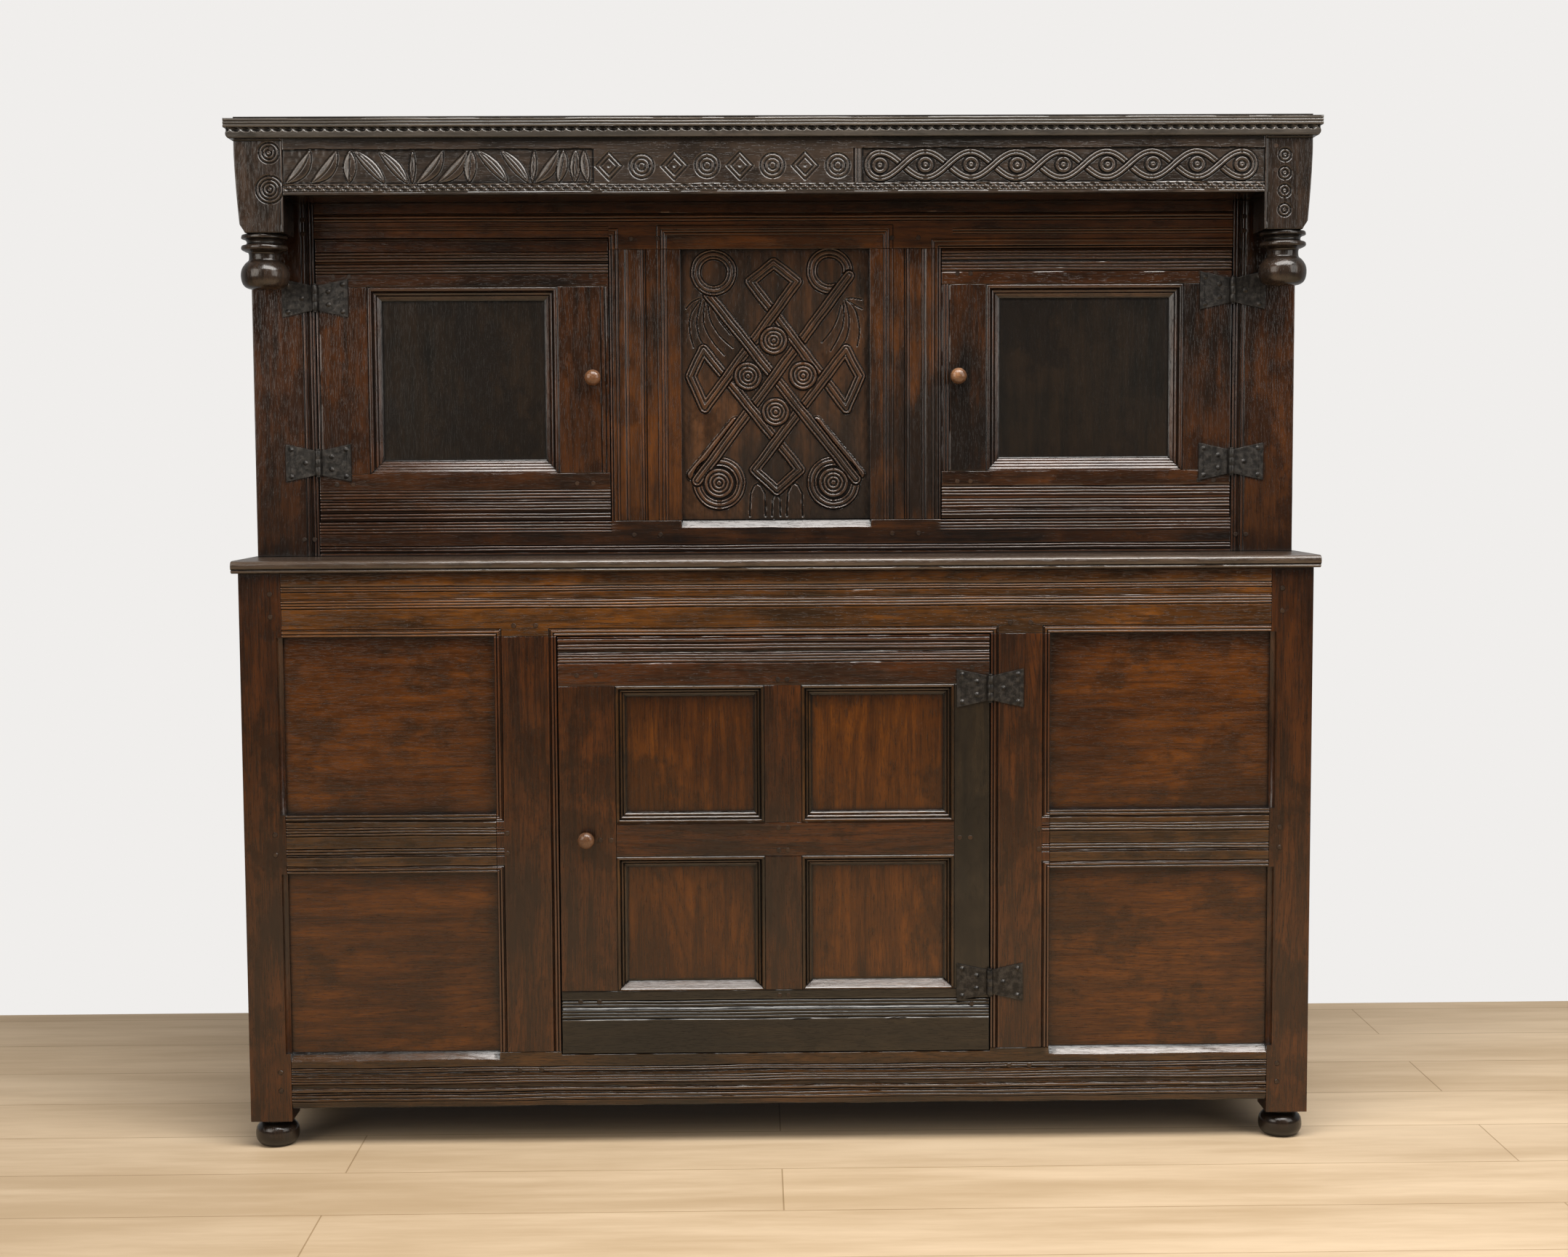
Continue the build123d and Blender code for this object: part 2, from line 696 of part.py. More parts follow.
def board_spans(span, count):
    """Equal boards side by side, with a gap between them and at both ends."""
    pitch = (span[1] - span[0]) / count
    return [
        (span[0] + i * pitch + board_gap / 2, span[0] + (i + 1) * pitch - board_gap / 2) for i in range(count)
    ]


with BuildPart() as back_boards:
    for x in board_spans((-rear_post_inner, rear_post_inner), back_board_count):
        block(x, (board_plane, rear), (underside + board_gap, beam_top - board_gap))
write(back_boards.part, "back_boards")

with BuildPart() as bottom_boards:
    floor_y = (rebate_y[0] + fit_gap, board_plane - fit_gap)
    for x in board_spans((-side_inner, side_inner), bottom_board_count):
        block(x, floor_y, (sill_height - board_thickness, sill_height))
    for side in (-1, 1):
        post_x = grown(mirrored(side, post_inner, half_width), board_gap)
        block(post_x, grown((front, side_front), board_gap), (underside, waist_height), Mode.SUBTRACT)
        post_x = grown(mirrored(side, rear_post_inner, half_width), board_gap)
        block(post_x, grown((side_rear, rear), board_gap), (underside, waist_height), Mode.SUBTRACT)
write(bottom_boards.part, "bottom_boards")

# ---------------------------------------------------------------- ledge and upper floor
with BuildPart() as ledge:
    overhung = half_width + ledge_end_overhang
    block((-overhung, overhung), (front - ledge_overhang, upper_front), (waist_height, ledge_top))
    block((-half_width, half_width), (upper_front - fit_gap, upper_back), (waist_height, ledge_top))
    fillet(ledge.faces().sort_by(Axis.Y)[0].edges().filter_by(Axis.X), ledge_round)
    for side in (-1, 1):
        block(grown(side_tenon_x(side)), grown(stile_foot_y), grown(stile_foot_z), Mode.SUBTRACT)
write(ledge.part, "ledge")

with BuildPart() as deck_boards:
    for y in board_spans((upper_back, board_plane), deck_board_count):
        block((-upper_side_inner + board_gap, upper_side_inner - board_gap), y, (waist_height, ledge_top))
    for side in (-1, 1):
        post_x = grown(mirrored(side, rear_post_inner, half_width), board_gap)
        block(post_x, grown((side_rear, rear), board_gap), grown((waist_height, ledge_top)), Mode.SUBTRACT)
write(deck_boards.part, "deck_boards")

# ---------------------------------------------------------------- upper front frame
upper_rail_tenons = [
    rail_tenon(-upper_stile_inner, -1, upper_rail_z),
    rail_tenon(upper_stile_inner, 1, upper_rail_z),
]
head_rail_tenons = [
    rail_tenon(-upper_stile_inner, -1, head_rail_z),
    rail_tenon(upper_stile_inner, 1, head_rail_z),
]
left_upper_muntin = (-upper_muntin_outer, -upper_muntin_inner)
right_upper_muntin = (upper_muntin_inner, upper_muntin_outer)
upper_muntin_tenons = []
muntin_foot = upper_rail_z[1] - carved_sill_drop
for span in (left_upper_muntin, right_upper_muntin):
    upper_muntin_tenons.append(muntin_tenon(span, muntin_foot, -1, 0.9 * tenon_length))
    upper_muntin_tenons.append(muntin_tenon(span, head_rail_z[0], 1))
carved_bay_x = (-upper_muntin_inner, upper_muntin_inner)
carved_bay_z = (carved_sill, head_rail_z[0])

with BuildPart() as upper_stiles:
    for side in (-1, 1):
        block(
            mirrored(side, upper_stile_inner, half_width),
            (upper_front, upper_back),
            (ledge_top, frieze_underside),
        )
        block(side_tenon_x(side), stile_foot_y, (stile_foot_z[0], ledge_top))
        block(side_tenon_x(side), stile_foot_y, (frieze_underside, stile_head_z[1]))
        side_mortises(side, [upper_side_tenon_front], upper_side_thickness)
        side_groove(side, upper_side_opening_y, side_panel_z)
    cut_joints(upper_rail_tenons + head_rail_tenons, upper_front)
    stile_z = (upper_rail_z[1] + 6, left_opening_z[1] - 4)
    stile_reeds(-upper_stile_inner - 22, stile_z, upper_front, 3)
    stile_reeds(upper_stile_inner + 7, stile_z, upper_front, 3)
    drill_nails(upper_front, left_frame_nails + right_frame_nails)
write(upper_stiles.part, "upper_stiles")

with BuildPart() as upper_bottom_rail:
    across = (-upper_stile_inner, upper_stile_inner)
    rail_y = (upper_front, upper_back)
    block(across, rail_y, upper_rail_z)
    add_tenons(upper_rail_tenons, upper_front)
    block(grown(carved_bay_x, upper_muntin_face), rail_y, (muntin_foot, upper_rail_z[1]), Mode.SUBTRACT)
    block(carved_bay_x, rail_y, (muntin_foot, carved_sill))
    splay(carved_bay_x, carved_sill, upper_front)
    groove(carved_bay_x, carved_bay_z, upper_front)
    cut_joints([upper_muntin_tenons[0], upper_muntin_tenons[2]], upper_front)
    for x in (left_door_opening, right_door_opening):
        rail_reeds(x, upper_rail_z[1] - 2, upper_front, 4)
    rail_reeds(across, upper_rail_z[0] + 19, upper_front, 3)
write(upper_bottom_rail.part, "upper_bottom_rail")

with BuildPart() as head_rail:
    block(across, rail_y, head_rail_z)
    block(left_door_opening, rail_y, (head_rail_z[0], left_opening_z[1]), Mode.SUBTRACT)
    add_tenons(head_rail_tenons, upper_front)
    cut_joints([upper_muntin_tenons[1], upper_muntin_tenons[3]], upper_front)
    groove(carved_bay_x, carved_bay_z, upper_front)
    mould_below(carved_bay_x, head_rail_z[0], upper_front)
    rail_reeds(carved_bay_x, head_rail_z[0] + 52, upper_front, 1)
    rail_reeds(carved_bay_x, head_rail_z[0] + 30, upper_front, 2)
    rail_reeds(right_door_opening, head_rail_z[0] + 24, upper_front, 4)
    rail_reeds(left_door_opening, left_opening_z[1] + 12, upper_front, 1)
write(head_rail.part, "head_rail")

with BuildPart() as upper_muntins:
    for x in (left_upper_muntin, right_upper_muntin):
        block(x, rail_y, (muntin_foot, head_rail_z[0]))
    add_tenons(upper_muntin_tenons, upper_front)
    groove(carved_bay_x, carved_bay_z, upper_front)
    mould_right(carved_bay_x[1], carved_bay_z, upper_front, edge_mould_width + 3)
    mould_left(carved_bay_x[0], carved_bay_z, upper_front, edge_mould_width + 3)
    muntin_z = (carved_sill + 8, head_rail_z[0])
    for left in (
        left_upper_muntin[0] + 14,
        left_upper_muntin[0] + 56,
        right_upper_muntin[1] - 32,
        right_upper_muntin[1] - 69,
    ):
        stile_reeds(left, muntin_z, upper_front, 2)
write(upper_muntins.part, "upper_muntins")

with BuildPart() as carved_panel:
    panel(carved_bay_x, carved_bay_z, upper_front)
write(carved_panel.part, "carved_panel")

with BuildPart() as door_stops:
    for x, top, face in (
        (left_door_opening, left_opening_z[1], upper_front),
        (right_door_opening, right_opening_z[1], upper_front),
        (lower_door_opening, lower_opening_z[1], front),
    ):
        y = (face + door_thickness + 2 * fit_gap, face + frame_thickness)
        block(grown(x, -board_gap), y, (top - door_stop_height, top))
write(door_stops.part, "door_stops")

# ---------------------------------------------------------------- frieze, pendants and top
frieze_tenons = [rail_tenon(-frieze_post_inner, -1, frieze_z), rail_tenon(frieze_post_inner, 1, frieze_z)]
pendant_centre = half_width - frieze_post_side / 2
pendant_y = frieze_front + frieze_post_side / 2

with BuildPart() as frieze_posts:
    for side in (-1, 1):
        block(
            mirrored(side, frieze_post_inner, half_width),
            (frieze_front, frieze_post_back),
            (post_bottom, beam_top),
        )
        side_mortises(side, [top_side_tenon_front])
    cut_joints(frieze_tenons, frieze_front, frieze_rail_thickness)
    with Locations(*[(side * pendant_centre, pendant_y, post_bottom) for side in (-1, 1)]):
        Cylinder(
            dowel_radius + fit_gap,
            dowel_length + board_gap,
            align=(Align.CENTER, Align.CENTER, Align.MIN),
            mode=Mode.SUBTRACT,
        )
write(frieze_posts.part, "frieze_posts")

with BuildPart() as frieze_rail:
    block((-frieze_post_inner, frieze_post_inner), (frieze_front, frieze_back), frieze_z)
    add_tenons(frieze_tenons, frieze_front, frieze_rail_thickness)
    rail_reeds((-frieze_post_inner, frieze_post_inner), frieze_underside + 5.2, frieze_front, 1)
write(frieze_rail.part, "frieze_rail")

with BuildPart() as pendants:
    ring = pendant_height / 10
    lip = 0.97 * pendant_radius
    cove = 0.8 * pendant_radius
    neck = 0.69 * pendant_radius
    for side in (-1, 1):
        with BuildSketch(upright_plane(side * pendant_centre, pendant_y, post_bottom)):
            with BuildLine():
                top = Line((0, 0), (lip, 0))
                upper_ring = ThreePointArc(top @ 1, (pendant_radius, -ring / 2), (lip, -ring))
                gap = Polyline(upper_ring @ 1, (cove, -ring), (cove, -1.9 * ring), (lip, -1.9 * ring))
                lower_ring = ThreePointArc(gap @ 1, (pendant_radius, -2.5 * ring), (lip, -3.1 * ring))
                throat = Polyline(lower_ring @ 1, (neck, -3.1 * ring), (neck, -4.6 * ring))
                ball = ThreePointArc(
                    throat @ 1,
                    (1.02 * pendant_radius, -7 * ring),
                    (0.6 * pendant_radius, -pendant_height),
                )
                Polyline(ball @ 1, (0, -pendant_height), (0, 0))
            make_face()
            with Locations((dowel_radius / 2, dowel_length / 2)):
                Rectangle(dowel_radius, dowel_length)
        revolve(axis=Axis((side * pendant_centre, pendant_y, post_bottom), (0, 0, 1)))
write(pendants.part, "pendants")

with BuildPart() as soffit_board:
    soffit_z = (frieze_underside, frieze_underside + soffit_thickness)
    block(grown((-side_inner, side_inner), -fit_gap), (frieze_back, upper_back), soffit_z)
    for side in (-1, 1):
        post_x = grown(mirrored(side, frieze_post_inner, half_width))
        block(post_x, grown((frieze_front, frieze_post_back)), grown(soffit_z), Mode.SUBTRACT)
        block(
            grown(side_tenon_x(side)), grown(stile_foot_y), grown(stile_head_z), Mode.SUBTRACT
        )
write(soffit_board.part, "soffit_board")

cornice_z = (top_height - cornice_top_drop - cornice_height, top_height - cornice_top_drop)


def cornice_length(plane, length):
    """A length of cornice: the plane's x points out of the frieze, its y up and its normal along."""
    band = 0.47 * cornice_height
    step = 0.3 * cornice_projection
    with BuildSketch(plane) as section:
        with BuildLine():
            foot = Line((0, 0), (cornice_projection - 1.6 * step, 0))
            cove = RadiusArc(foot @ 1, (cornice_projection - step, 0.33 * cornice_height), -2 * step)
            Polyline(
                cove @ 1,
                (cornice_projection - step, cornice_height - band),
                (cornice_projection, cornice_height - band),
                (cornice_projection, cornice_height),
                (0, cornice_height),
                (0, 0),
            )
        make_face()
        with Locations(*[(cornice_projection, cornice_height - band * share) for share in (0.34, 0.67)]):
            Circle(0.6, mode=Mode.SUBTRACT)
    extrude(section.sketch, amount=length)


def cut_corner(side, x_shift, y_shift, beyond):
    """Cuts away what lies past the mitre at a front corner: in front of it or, beyond, at the side of it."""
    corner_x = half_width - x_shift
    far = 2 * cornice_projection
    with BuildSketch(Plane.XY.offset(cornice_z[0])) as past:
        with BuildLine():
            third = (side * (corner_x + far), frieze_front) if beyond else (side * corner_x, frieze_front - far)
            Polyline(
                (side * corner_x, frieze_front + y_shift),
                (side * (corner_x + far), frieze_front + y_shift - far),
                third,
                (side * corner_x, frieze_front + y_shift),
            )
        make_face()
    extrude(past.sketch, amount=cornice_height, mode=Mode.SUBTRACT)


with BuildPart() as front_cornice:
    reach = half_width + cornice_projection
    cornice_length(
        Plane(origin=(reach, frieze_front, cornice_z[0]), x_dir=(0, -1, 0), z_dir=(-1, 0, 0)), 2 * reach
    )
    for side in (-1, 1):
        cut_corner(side, fit_gap, 0, True)
write(front_cornice.part, "front_cornice")

with BuildPart() as side_cornices:
    start = frieze_front - cornice_projection
    cornice_length(
        Plane(origin=(-half_width, start, cornice_z[0]), x_dir=(-1, 0, 0), z_dir=(0, 1, 0)), rear - start
    )
    cornice_length(
        Plane(origin=(half_width, rear, cornice_z[0]), x_dir=(1, 0, 0), z_dir=(0, -1, 0)), rear - start
    )
    for side in (-1, 1):
        cut_corner(side, 0, 0, False)
write(side_cornices.part, "side_cornices")

with BuildPart() as top_boards:
    for y in board_spans((frieze_front, rear), top_board_count):
        block((-half_width + fit_gap, half_width - fit_gap), y, (beam_top, top_height))
write(top_boards.part, "top_boards")

# ---------------------------------------------------------------- pegs of the frame
lower_front_tenons = bottom_tenons + waist_tenons + lower_muntin_tenons + mid_tenons
upper_front_tenons = upper_rail_tenons + head_rail_tenons + upper_muntin_tenons
side_peg_tenons = side_tenons_front + side_tenons_rear + [
    top_side_tenon_front,
    top_side_tenon_rear,
    upper_side_tenon_front,
    upper_side_tenon_rear,
]

with BuildPart() as frame_pegs:
    rods(front - peg_proud, peg_points(lower_front_tenons), peg_radius, peg_length)
    rods(upper_front - peg_proud, peg_points(upper_front_tenons), peg_radius, peg_length)
    rods(frieze_front - peg_proud, peg_points(frieze_tenons), peg_radius, peg_length)
    for side in (-1, 1):
        side_rods(side, peg_points(side_peg_tenons), peg_radius, peg_length, start=half_width + peg_proud)
write(frame_pegs.part, "frame_pegs")

# ---------------------------------------------------------------- hinge leaves of the frame
with BuildPart() as frame_leaves:
    leaves(left_pin, left_hinge_heights, upper_front, -1, frame_knuckles, left_frame_nails)
    leaves(right_pin, right_hinge_heights, upper_front, 1, frame_knuckles, right_frame_nails)
    leaves(lower_pin, lower_hinge_heights, front, 1, frame_knuckles, lower_frame_nails)
write(frame_leaves.part, "frame_leaves")

with BuildPart() as hinge_pins:
    pin_places = [(left_pin, left_hinge_heights), (right_pin, right_hinge_heights), (lower_pin, lower_hinge_heights)]
    for place, heights in pin_places:
        for middle in heights:
            with Locations((place[0], place[1], middle)):
                Cylinder(hinge_pin_radius, leaf_waist_height + 2 * knuckle_gap)
            with Locations(
                (place[0], place[1], middle + leaf_waist_height / 2 + 1.5),
                (place[0], place[1], middle - leaf_waist_height / 2 - 1.5),
            ):
                Cylinder(hinge_pin_radius + 1.2, 3 - 2 * knuckle_gap)
write(hinge_pins.part, "hinge_pins")

with BuildPart() as frame_nails:
    rose_nails(upper_front, left_frame_nails + right_frame_nails)
    rose_nails(front, lower_frame_nails)
write(frame_nails.part, "frame_nails")


# ---------------------------------------------------------------- doors
def panel_moulding(x, z, face, width):
    """The moulding round the inside of a panel opening: four mitred strips that stand on the panel."""
    x = grown(x, -fit_gap)
    z = grown(z, -fit_gap)
    middle = (x[0] + x[1]) / 2
    with BuildSketch(Plane(origin=(middle, face, z[0]), x_dir=(0, 0, 1), z_dir=(-1, 0, 0))) as section:
        with BuildLine():
            back = Polyline(
                (width, 0.62 * panel_setback),
                (width, panel_setback),
                (0, panel_setback),
                (0, -0.5 * moulding_proud),
            )
            bead = ThreePointArc(back @ 1, (0.17 * width, -moulding_proud), (0.34 * width, -0.5 * moulding_proud))
            step = Line(bead @ 1, (0.34 * width, 0.12 * panel_setback))
            ThreePointArc(step @ 1, (0.72 * width, 0.22 * panel_setback), back @ 0)
        make_face()
    corners = [(middle, z[0]), (x[0], z[0]), (x[0], z[1]), (x[1], z[1]), (x[1], z[0]), (middle, z[0])]
    with BuildLine() as way:
        Polyline(*[(corner_x, face, corner_z) for corner_x, corner_z in corners])
    sweep(section.sketch, path=way.wire(), transition=Transition.RIGHT)
    for corner_x, inward_x in ((x[0], 1), (x[1], -1)):
        for corner_z, inward_z in ((z[0], 1), (z[1], -1)):
            cut = (corner_x + inward_x * width / 2, face, corner_z + inward_z * width / 2)
            with Locations(Location(cut, (0, -45 * inward_x * inward_z, 0))):
                Box(2 * width, 3 * panel_setback, fit_gap, mode=Mode.SUBTRACT)


def framed_door(tag, face, stiles, rails, muntin, strip_width, nails, knob, rail_bands, stile_bands):
    """Writes the timbers, the panels, the moulding and the pegs of a door.

    Stiles and muntin are X spans, rails are Z spans from the foot up, knob is X and Z of its spindle.
    The head and the foot rail run the whole width, and the stiles stand between them.
    The bands are reeds: (top height, number) on those rails and (left line, number) on the stiles.
    """
    between = (stiles[0][1], stiles[1][0])
    whole = (stiles[0][0], stiles[1][1])
    y = (face, face + door_thickness)
    bays = [(between[0], muntin[0]), (muntin[1], between[1])] if muntin else [between]
    heights = [(below[1], above[0]) for below, above in zip(rails, rails[1:])]
    openings = [(bay, height) for bay in bays for height in heights]
    stile_z = (rails[0][1], rails[-1][0])
    stile_joints = []
    for x in stiles:
        stile_joints += [muntin_tenon(x, stile_z[0], -1), muntin_tenon(x, stile_z[1], 1)]
    cross_joints = []
    for z in rails[1:-1]:
        cross_joints += [rail_tenon(between[0], -1, z), rail_tenon(between[1], 1, z)]
    muntin_joints = []
    if muntin:
        for low, high in heights:
            muntin_joints.append(muntin_tenon(muntin, low, -1, door_stub_length))
            muntin_joints.append(muntin_tenon(muntin, high, 1, door_stub_length))

    with BuildPart() as door_stiles:
        for x in stiles:
            block(x, y, stile_z)
        add_tenons(stile_joints, face, door_thickness)
        if cross_joints:
            cut_joints(cross_joints, face, door_thickness)
        for x, z in openings:
            groove(x, z, face)
        for left, count in stile_bands:
            stile_reeds(left, stile_z, face, count)
        rods(face, [knob], spindle_radius + running_gap, door_thickness, Mode.SUBTRACT)
        drill_nails(face, nails)
    write(door_stiles.part, tag + "_stiles")

    with BuildPart() as door_rails:
        block(whole, y, rails[0])
        block(whole, y, rails[-1])
        for z in rails[1:-1]:
            block(between, y, z)
        if cross_joints:
            add_tenons(cross_joints, face, door_thickness)
        cut_joints(stile_joints + muntin_joints, face, door_thickness)
        for x, z in openings:
            groove(x, z, face)
        for top, count in rail_bands:
            rail_reeds(whole, top, face, count)
        drill_nails(face, nails)
    write(door_rails.part, tag + "_rails")

    if muntin:
        with BuildPart() as door_muntins:
            for z in heights:
                block(muntin, y, z)
            add_tenons(muntin_joints, face, door_thickness)
            for x, z in openings:
                groove(x, z, face)
        write(door_muntins.part, tag + "_muntins")

    with BuildPart() as door_panels:
        for x, z in openings:
            panel(x, z, face)
    write(door_panels.part, tag + ("_panels" if muntin else "_panel"))

    with BuildPart() as moulding:
        for x, z in openings:
            panel_moulding(x, z, face, strip_width)
    write(moulding.part, tag + "_moulding")

    with BuildPart() as door_pegs:
        points = peg_points(stile_joints + cross_joints + muntin_joints)
        rods(face, points, peg_radius, peg_length)
    write(door_pegs.part, tag + "_pegs")


def door_ironwork(tag, face, pin, heights, toward, nails):
    """Writes the leaves and the nails on the door's side of its hinges."""
    with BuildPart() as door_leaves:
        leaves(pin, heights, face, toward, door_knuckles, nails)
    write(door_leaves.part, tag + "_leaves")

    with BuildPart() as door_nails:
        rose_nails(face, nails)
    write(door_nails.part, tag + "_nails")


def knob_and_catch(tag, face, knob, reach):
    """Writes a turned knob with its spindle, and the catch that the spindle carries behind the door."""
    x, z = knob
    catch_front = face + frame_thickness + board_gap
    catch_back = catch_front + catch_thickness
    with BuildPart() as turned_knob:
        # The outline's x is the radius and its y comes out towards the front
        with BuildSketch(Plane(origin=(x, face, z), x_dir=(1, 0, 0), z_dir=(0, 0, -1))):
            with BuildLine():
                stem = Polyline(
                    (0, face - catch_back),
                    (spindle_radius, face - catch_back),
                    (spindle_radius, knuckle_gap),
                    (spindle_collar, knuckle_gap),
                    (spindle_collar, 0.1 * knob_reach),
                    (0.46 * knob_radius, 0.17 * knob_reach),
                    (0.46 * knob_radius, 0.27 * knob_reach),
                )
                ball = ThreePointArc(
                    stem @ 1, (knob_radius, 0.58 * knob_reach), (0.3 * knob_radius, 0.92 * knob_reach)
                )
                Polyline(
                    ball @ 1,
                    (0.3 * knob_radius, 0.97 * knob_reach),
                    (0.2 * knob_radius, knob_reach),
                    (0, knob_reach),
                    (0, face - catch_back),
                )
            make_face()
        revolve(axis=Axis((x, face, z), (0, 1, 0)))
    write(turned_knob.part, tag + "_knob")

    with BuildPart() as catch:
        hub_front = face + door_thickness + knuckle_gap
        rods(hub_front, [knob], catch_hub_radius, catch_back - hub_front)
        hang = reach - catch_width / 2
        with BuildSketch(front_plane(catch_front)) as tongue:
            with Locations((x, -z + hang / 2)):
                SlotCenterToCenter(hang, catch_width, rotation=90)
        extrude(tongue.sketch, amount=catch_thickness)
        rods(hub_front, [knob], spindle_radius + running_gap, catch_back - hub_front, Mode.SUBTRACT)
    write(catch.part, tag + "_catch")


# ---------------------------------------------------------------- upper doors
left_door_x = grown(left_door_opening, -door_gap)
left_knob = (left_door_x[1] - knob_inset, sum(left_door_z) / 2 + left_knob_rise)
left_door_nails = nail_points(left_pin[0], left_hinge_heights, 1, 4)
framed_door(
    "upper_left_door",
    upper_front,
    [(left_door_x[0], left_door_x[0] + left_door_stile), (left_door_x[1] - left_door_stile, left_door_x[1])],
    [
        (left_door_z[0], left_door_z[0] + upper_foot_rail),
        (left_door_z[1] - left_door_head_rail, left_door_z[1]),
    ],
    None,
    upper_moulding_width,
    left_door_nails,
    left_knob,
    [
        (left_door_z[1] - 21, 3),
        (left_door_z[1] - 41, 3),
        (left_door_z[0] + 50, 3),
        (left_door_z[0] + 30, 3),
        (left_door_z[0] + 12, 2),
    ],
    [],
)
door_ironwork("upper_left_door", upper_front, left_pin, left_hinge_heights, 1, left_door_nails)
knob_and_catch("upper_left_door", upper_front, left_knob, knob_inset + door_gap + catch_lap)

right_door_x = grown(right_door_opening, -door_gap)
right_knob = (right_door_x[0] + knob_inset, sum(right_door_z) / 2 + right_knob_rise)
right_door_nails = nail_points(right_pin[0], right_hinge_heights, -1, 4)
framed_door(
    "upper_right_door",
    upper_front,
    [
        (right_door_x[0], right_door_x[0] + right_door_lock_stile),
        (right_door_x[1] - right_door_hinge_stile, right_door_x[1]),
    ],
    [
        (right_door_z[0], right_door_z[0] + upper_foot_rail),
        (right_door_z[1] - right_door_head_rail, right_door_z[1]),
    ],
    None,
    upper_moulding_width,
    right_door_nails,
    right_knob,
    [
        (right_door_z[1] - 2, 3),
        (right_door_z[1] - 20, 3),
        (right_door_z[0] + 51, 3),
        (right_door_z[0] + 31, 3),
        (right_door_z[0] + 13, 2),
    ],
    [(right_door_x[0] + 2, 2)],
)
door_ironwork("upper_right_door", upper_front, right_pin, right_hinge_heights, -1, right_door_nails)
knob_and_catch("upper_right_door", upper_front, right_knob, knob_inset + door_gap + catch_lap)

# ---------------------------------------------------------------- lower door
lower_door_x = grown(lower_door_opening, -door_gap)
lower_knob = (lower_door_x[0] + lower_knob_inset, sum(lower_door_z) / 2 + lower_knob_rise)
lower_door_nails = nail_points(lower_pin[0], lower_hinge_heights, -1, 4)
lower_muntin_left = lower_door_x[0] + lower_lock_stile + lower_door_left_bay
foot_panel_z = (lower_door_z[0] + lower_foot_rail, lower_door_z[0] + lower_foot_rail + lower_foot_panel)
framed_door(
    "lower_door",
    front,
    [
        (lower_door_x[0], lower_door_x[0] + lower_lock_stile),
        (lower_door_x[1] - lower_hinge_stile, lower_door_x[1]),
    ],
    [
        (lower_door_z[0], foot_panel_z[0]),
        (foot_panel_z[1], foot_panel_z[1] + lower_door_mid_rail),
        (lower_door_z[1] - lower_head_rail, lower_door_z[1]),
    ],
    (lower_muntin_left, lower_muntin_left + lower_door_muntin),
    lower_moulding_width,
    lower_door_nails,
    lower_knob,
    [
        (lower_door_z[1] - 3, 1),
        (lower_door_z[1] - 12, 2),
        (lower_door_z[1] - 27, 3),
        (lower_door_z[0] + 85, 2),
        (lower_door_z[0] + 71, 3),
    ],
    [],
)
door_ironwork("lower_door", front, lower_pin, lower_hinge_heights, -1, lower_door_nails)
knob_and_catch("lower_door", front, lower_knob, lower_knob_inset + door_gap + catch_lap)
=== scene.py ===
import math

import bmesh
import bpy
import numpy as np
from mathutils import Matrix, Vector


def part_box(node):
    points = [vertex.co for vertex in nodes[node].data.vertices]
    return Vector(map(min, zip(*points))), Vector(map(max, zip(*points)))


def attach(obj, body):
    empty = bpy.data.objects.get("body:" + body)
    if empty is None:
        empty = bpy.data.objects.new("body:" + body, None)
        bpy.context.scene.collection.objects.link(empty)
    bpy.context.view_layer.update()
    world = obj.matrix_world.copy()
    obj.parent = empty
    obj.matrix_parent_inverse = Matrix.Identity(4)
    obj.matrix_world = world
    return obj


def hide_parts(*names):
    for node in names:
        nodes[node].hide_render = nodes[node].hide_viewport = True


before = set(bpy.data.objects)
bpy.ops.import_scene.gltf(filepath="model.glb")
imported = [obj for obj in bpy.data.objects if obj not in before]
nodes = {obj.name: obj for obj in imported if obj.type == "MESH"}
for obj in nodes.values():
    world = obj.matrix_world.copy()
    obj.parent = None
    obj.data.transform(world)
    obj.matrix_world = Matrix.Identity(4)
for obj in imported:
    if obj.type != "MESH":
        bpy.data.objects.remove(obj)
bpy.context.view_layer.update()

# ---- The room ----
# A pale boarded floor that stops behind the cupboard, soft windows at both sides,
# a ceiling window over the front and a white surround.


class Shade:
    """One socket of a node tree, with the arithmetic that masks need."""

    def __init__(self, tree, socket=None):
        self.tree, self.socket = tree, socket

    def node(self, kind, settings=None, sockets=None, out=0):
        made = self.tree.nodes.new("ShaderNode" + kind)
        for name, value in (settings or {}).items():
            setattr(made, name, value)
        for name, value in (sockets or {}).items():
            if isinstance(value, Shade):
                self.tree.links.new(value.socket, made.inputs[name])
            else:
                made.inputs[name].default_value = value
        return Shade(self.tree, made.outputs[out] if len(made.outputs) else None)

    def maths(self, operation, first, second=0.0):
        return self.node("Math", {"operation": operation}, {0: first, 1: second})

    def __add__(self, other):
        return self.maths("ADD", self, other)

    def __sub__(self, other):
        return self.maths("SUBTRACT", self, other)

    def __rsub__(self, other):
        return self.maths("SUBTRACT", other, self)

    def __mul__(self, other):
        return self.maths("MULTIPLY", self, other)

    __radd__, __rmul__ = __add__, __mul__


def between(value, low, high):
    """0 below low, 1 above high and a smooth rise from one to the other."""
    return value.node(
        "MapRange",
        {"interpolation_type": "SMOOTHSTEP"},
        {"Value": value, "From Min": low, "From Max": high},
    )


def blended(share, first, second):
    """Two colours mixed by a share."""
    return share.node("Mix", {"data_type": "RGBA", "clamp_factor": True}, {0: share, 6: first, 7: second}, out=2)


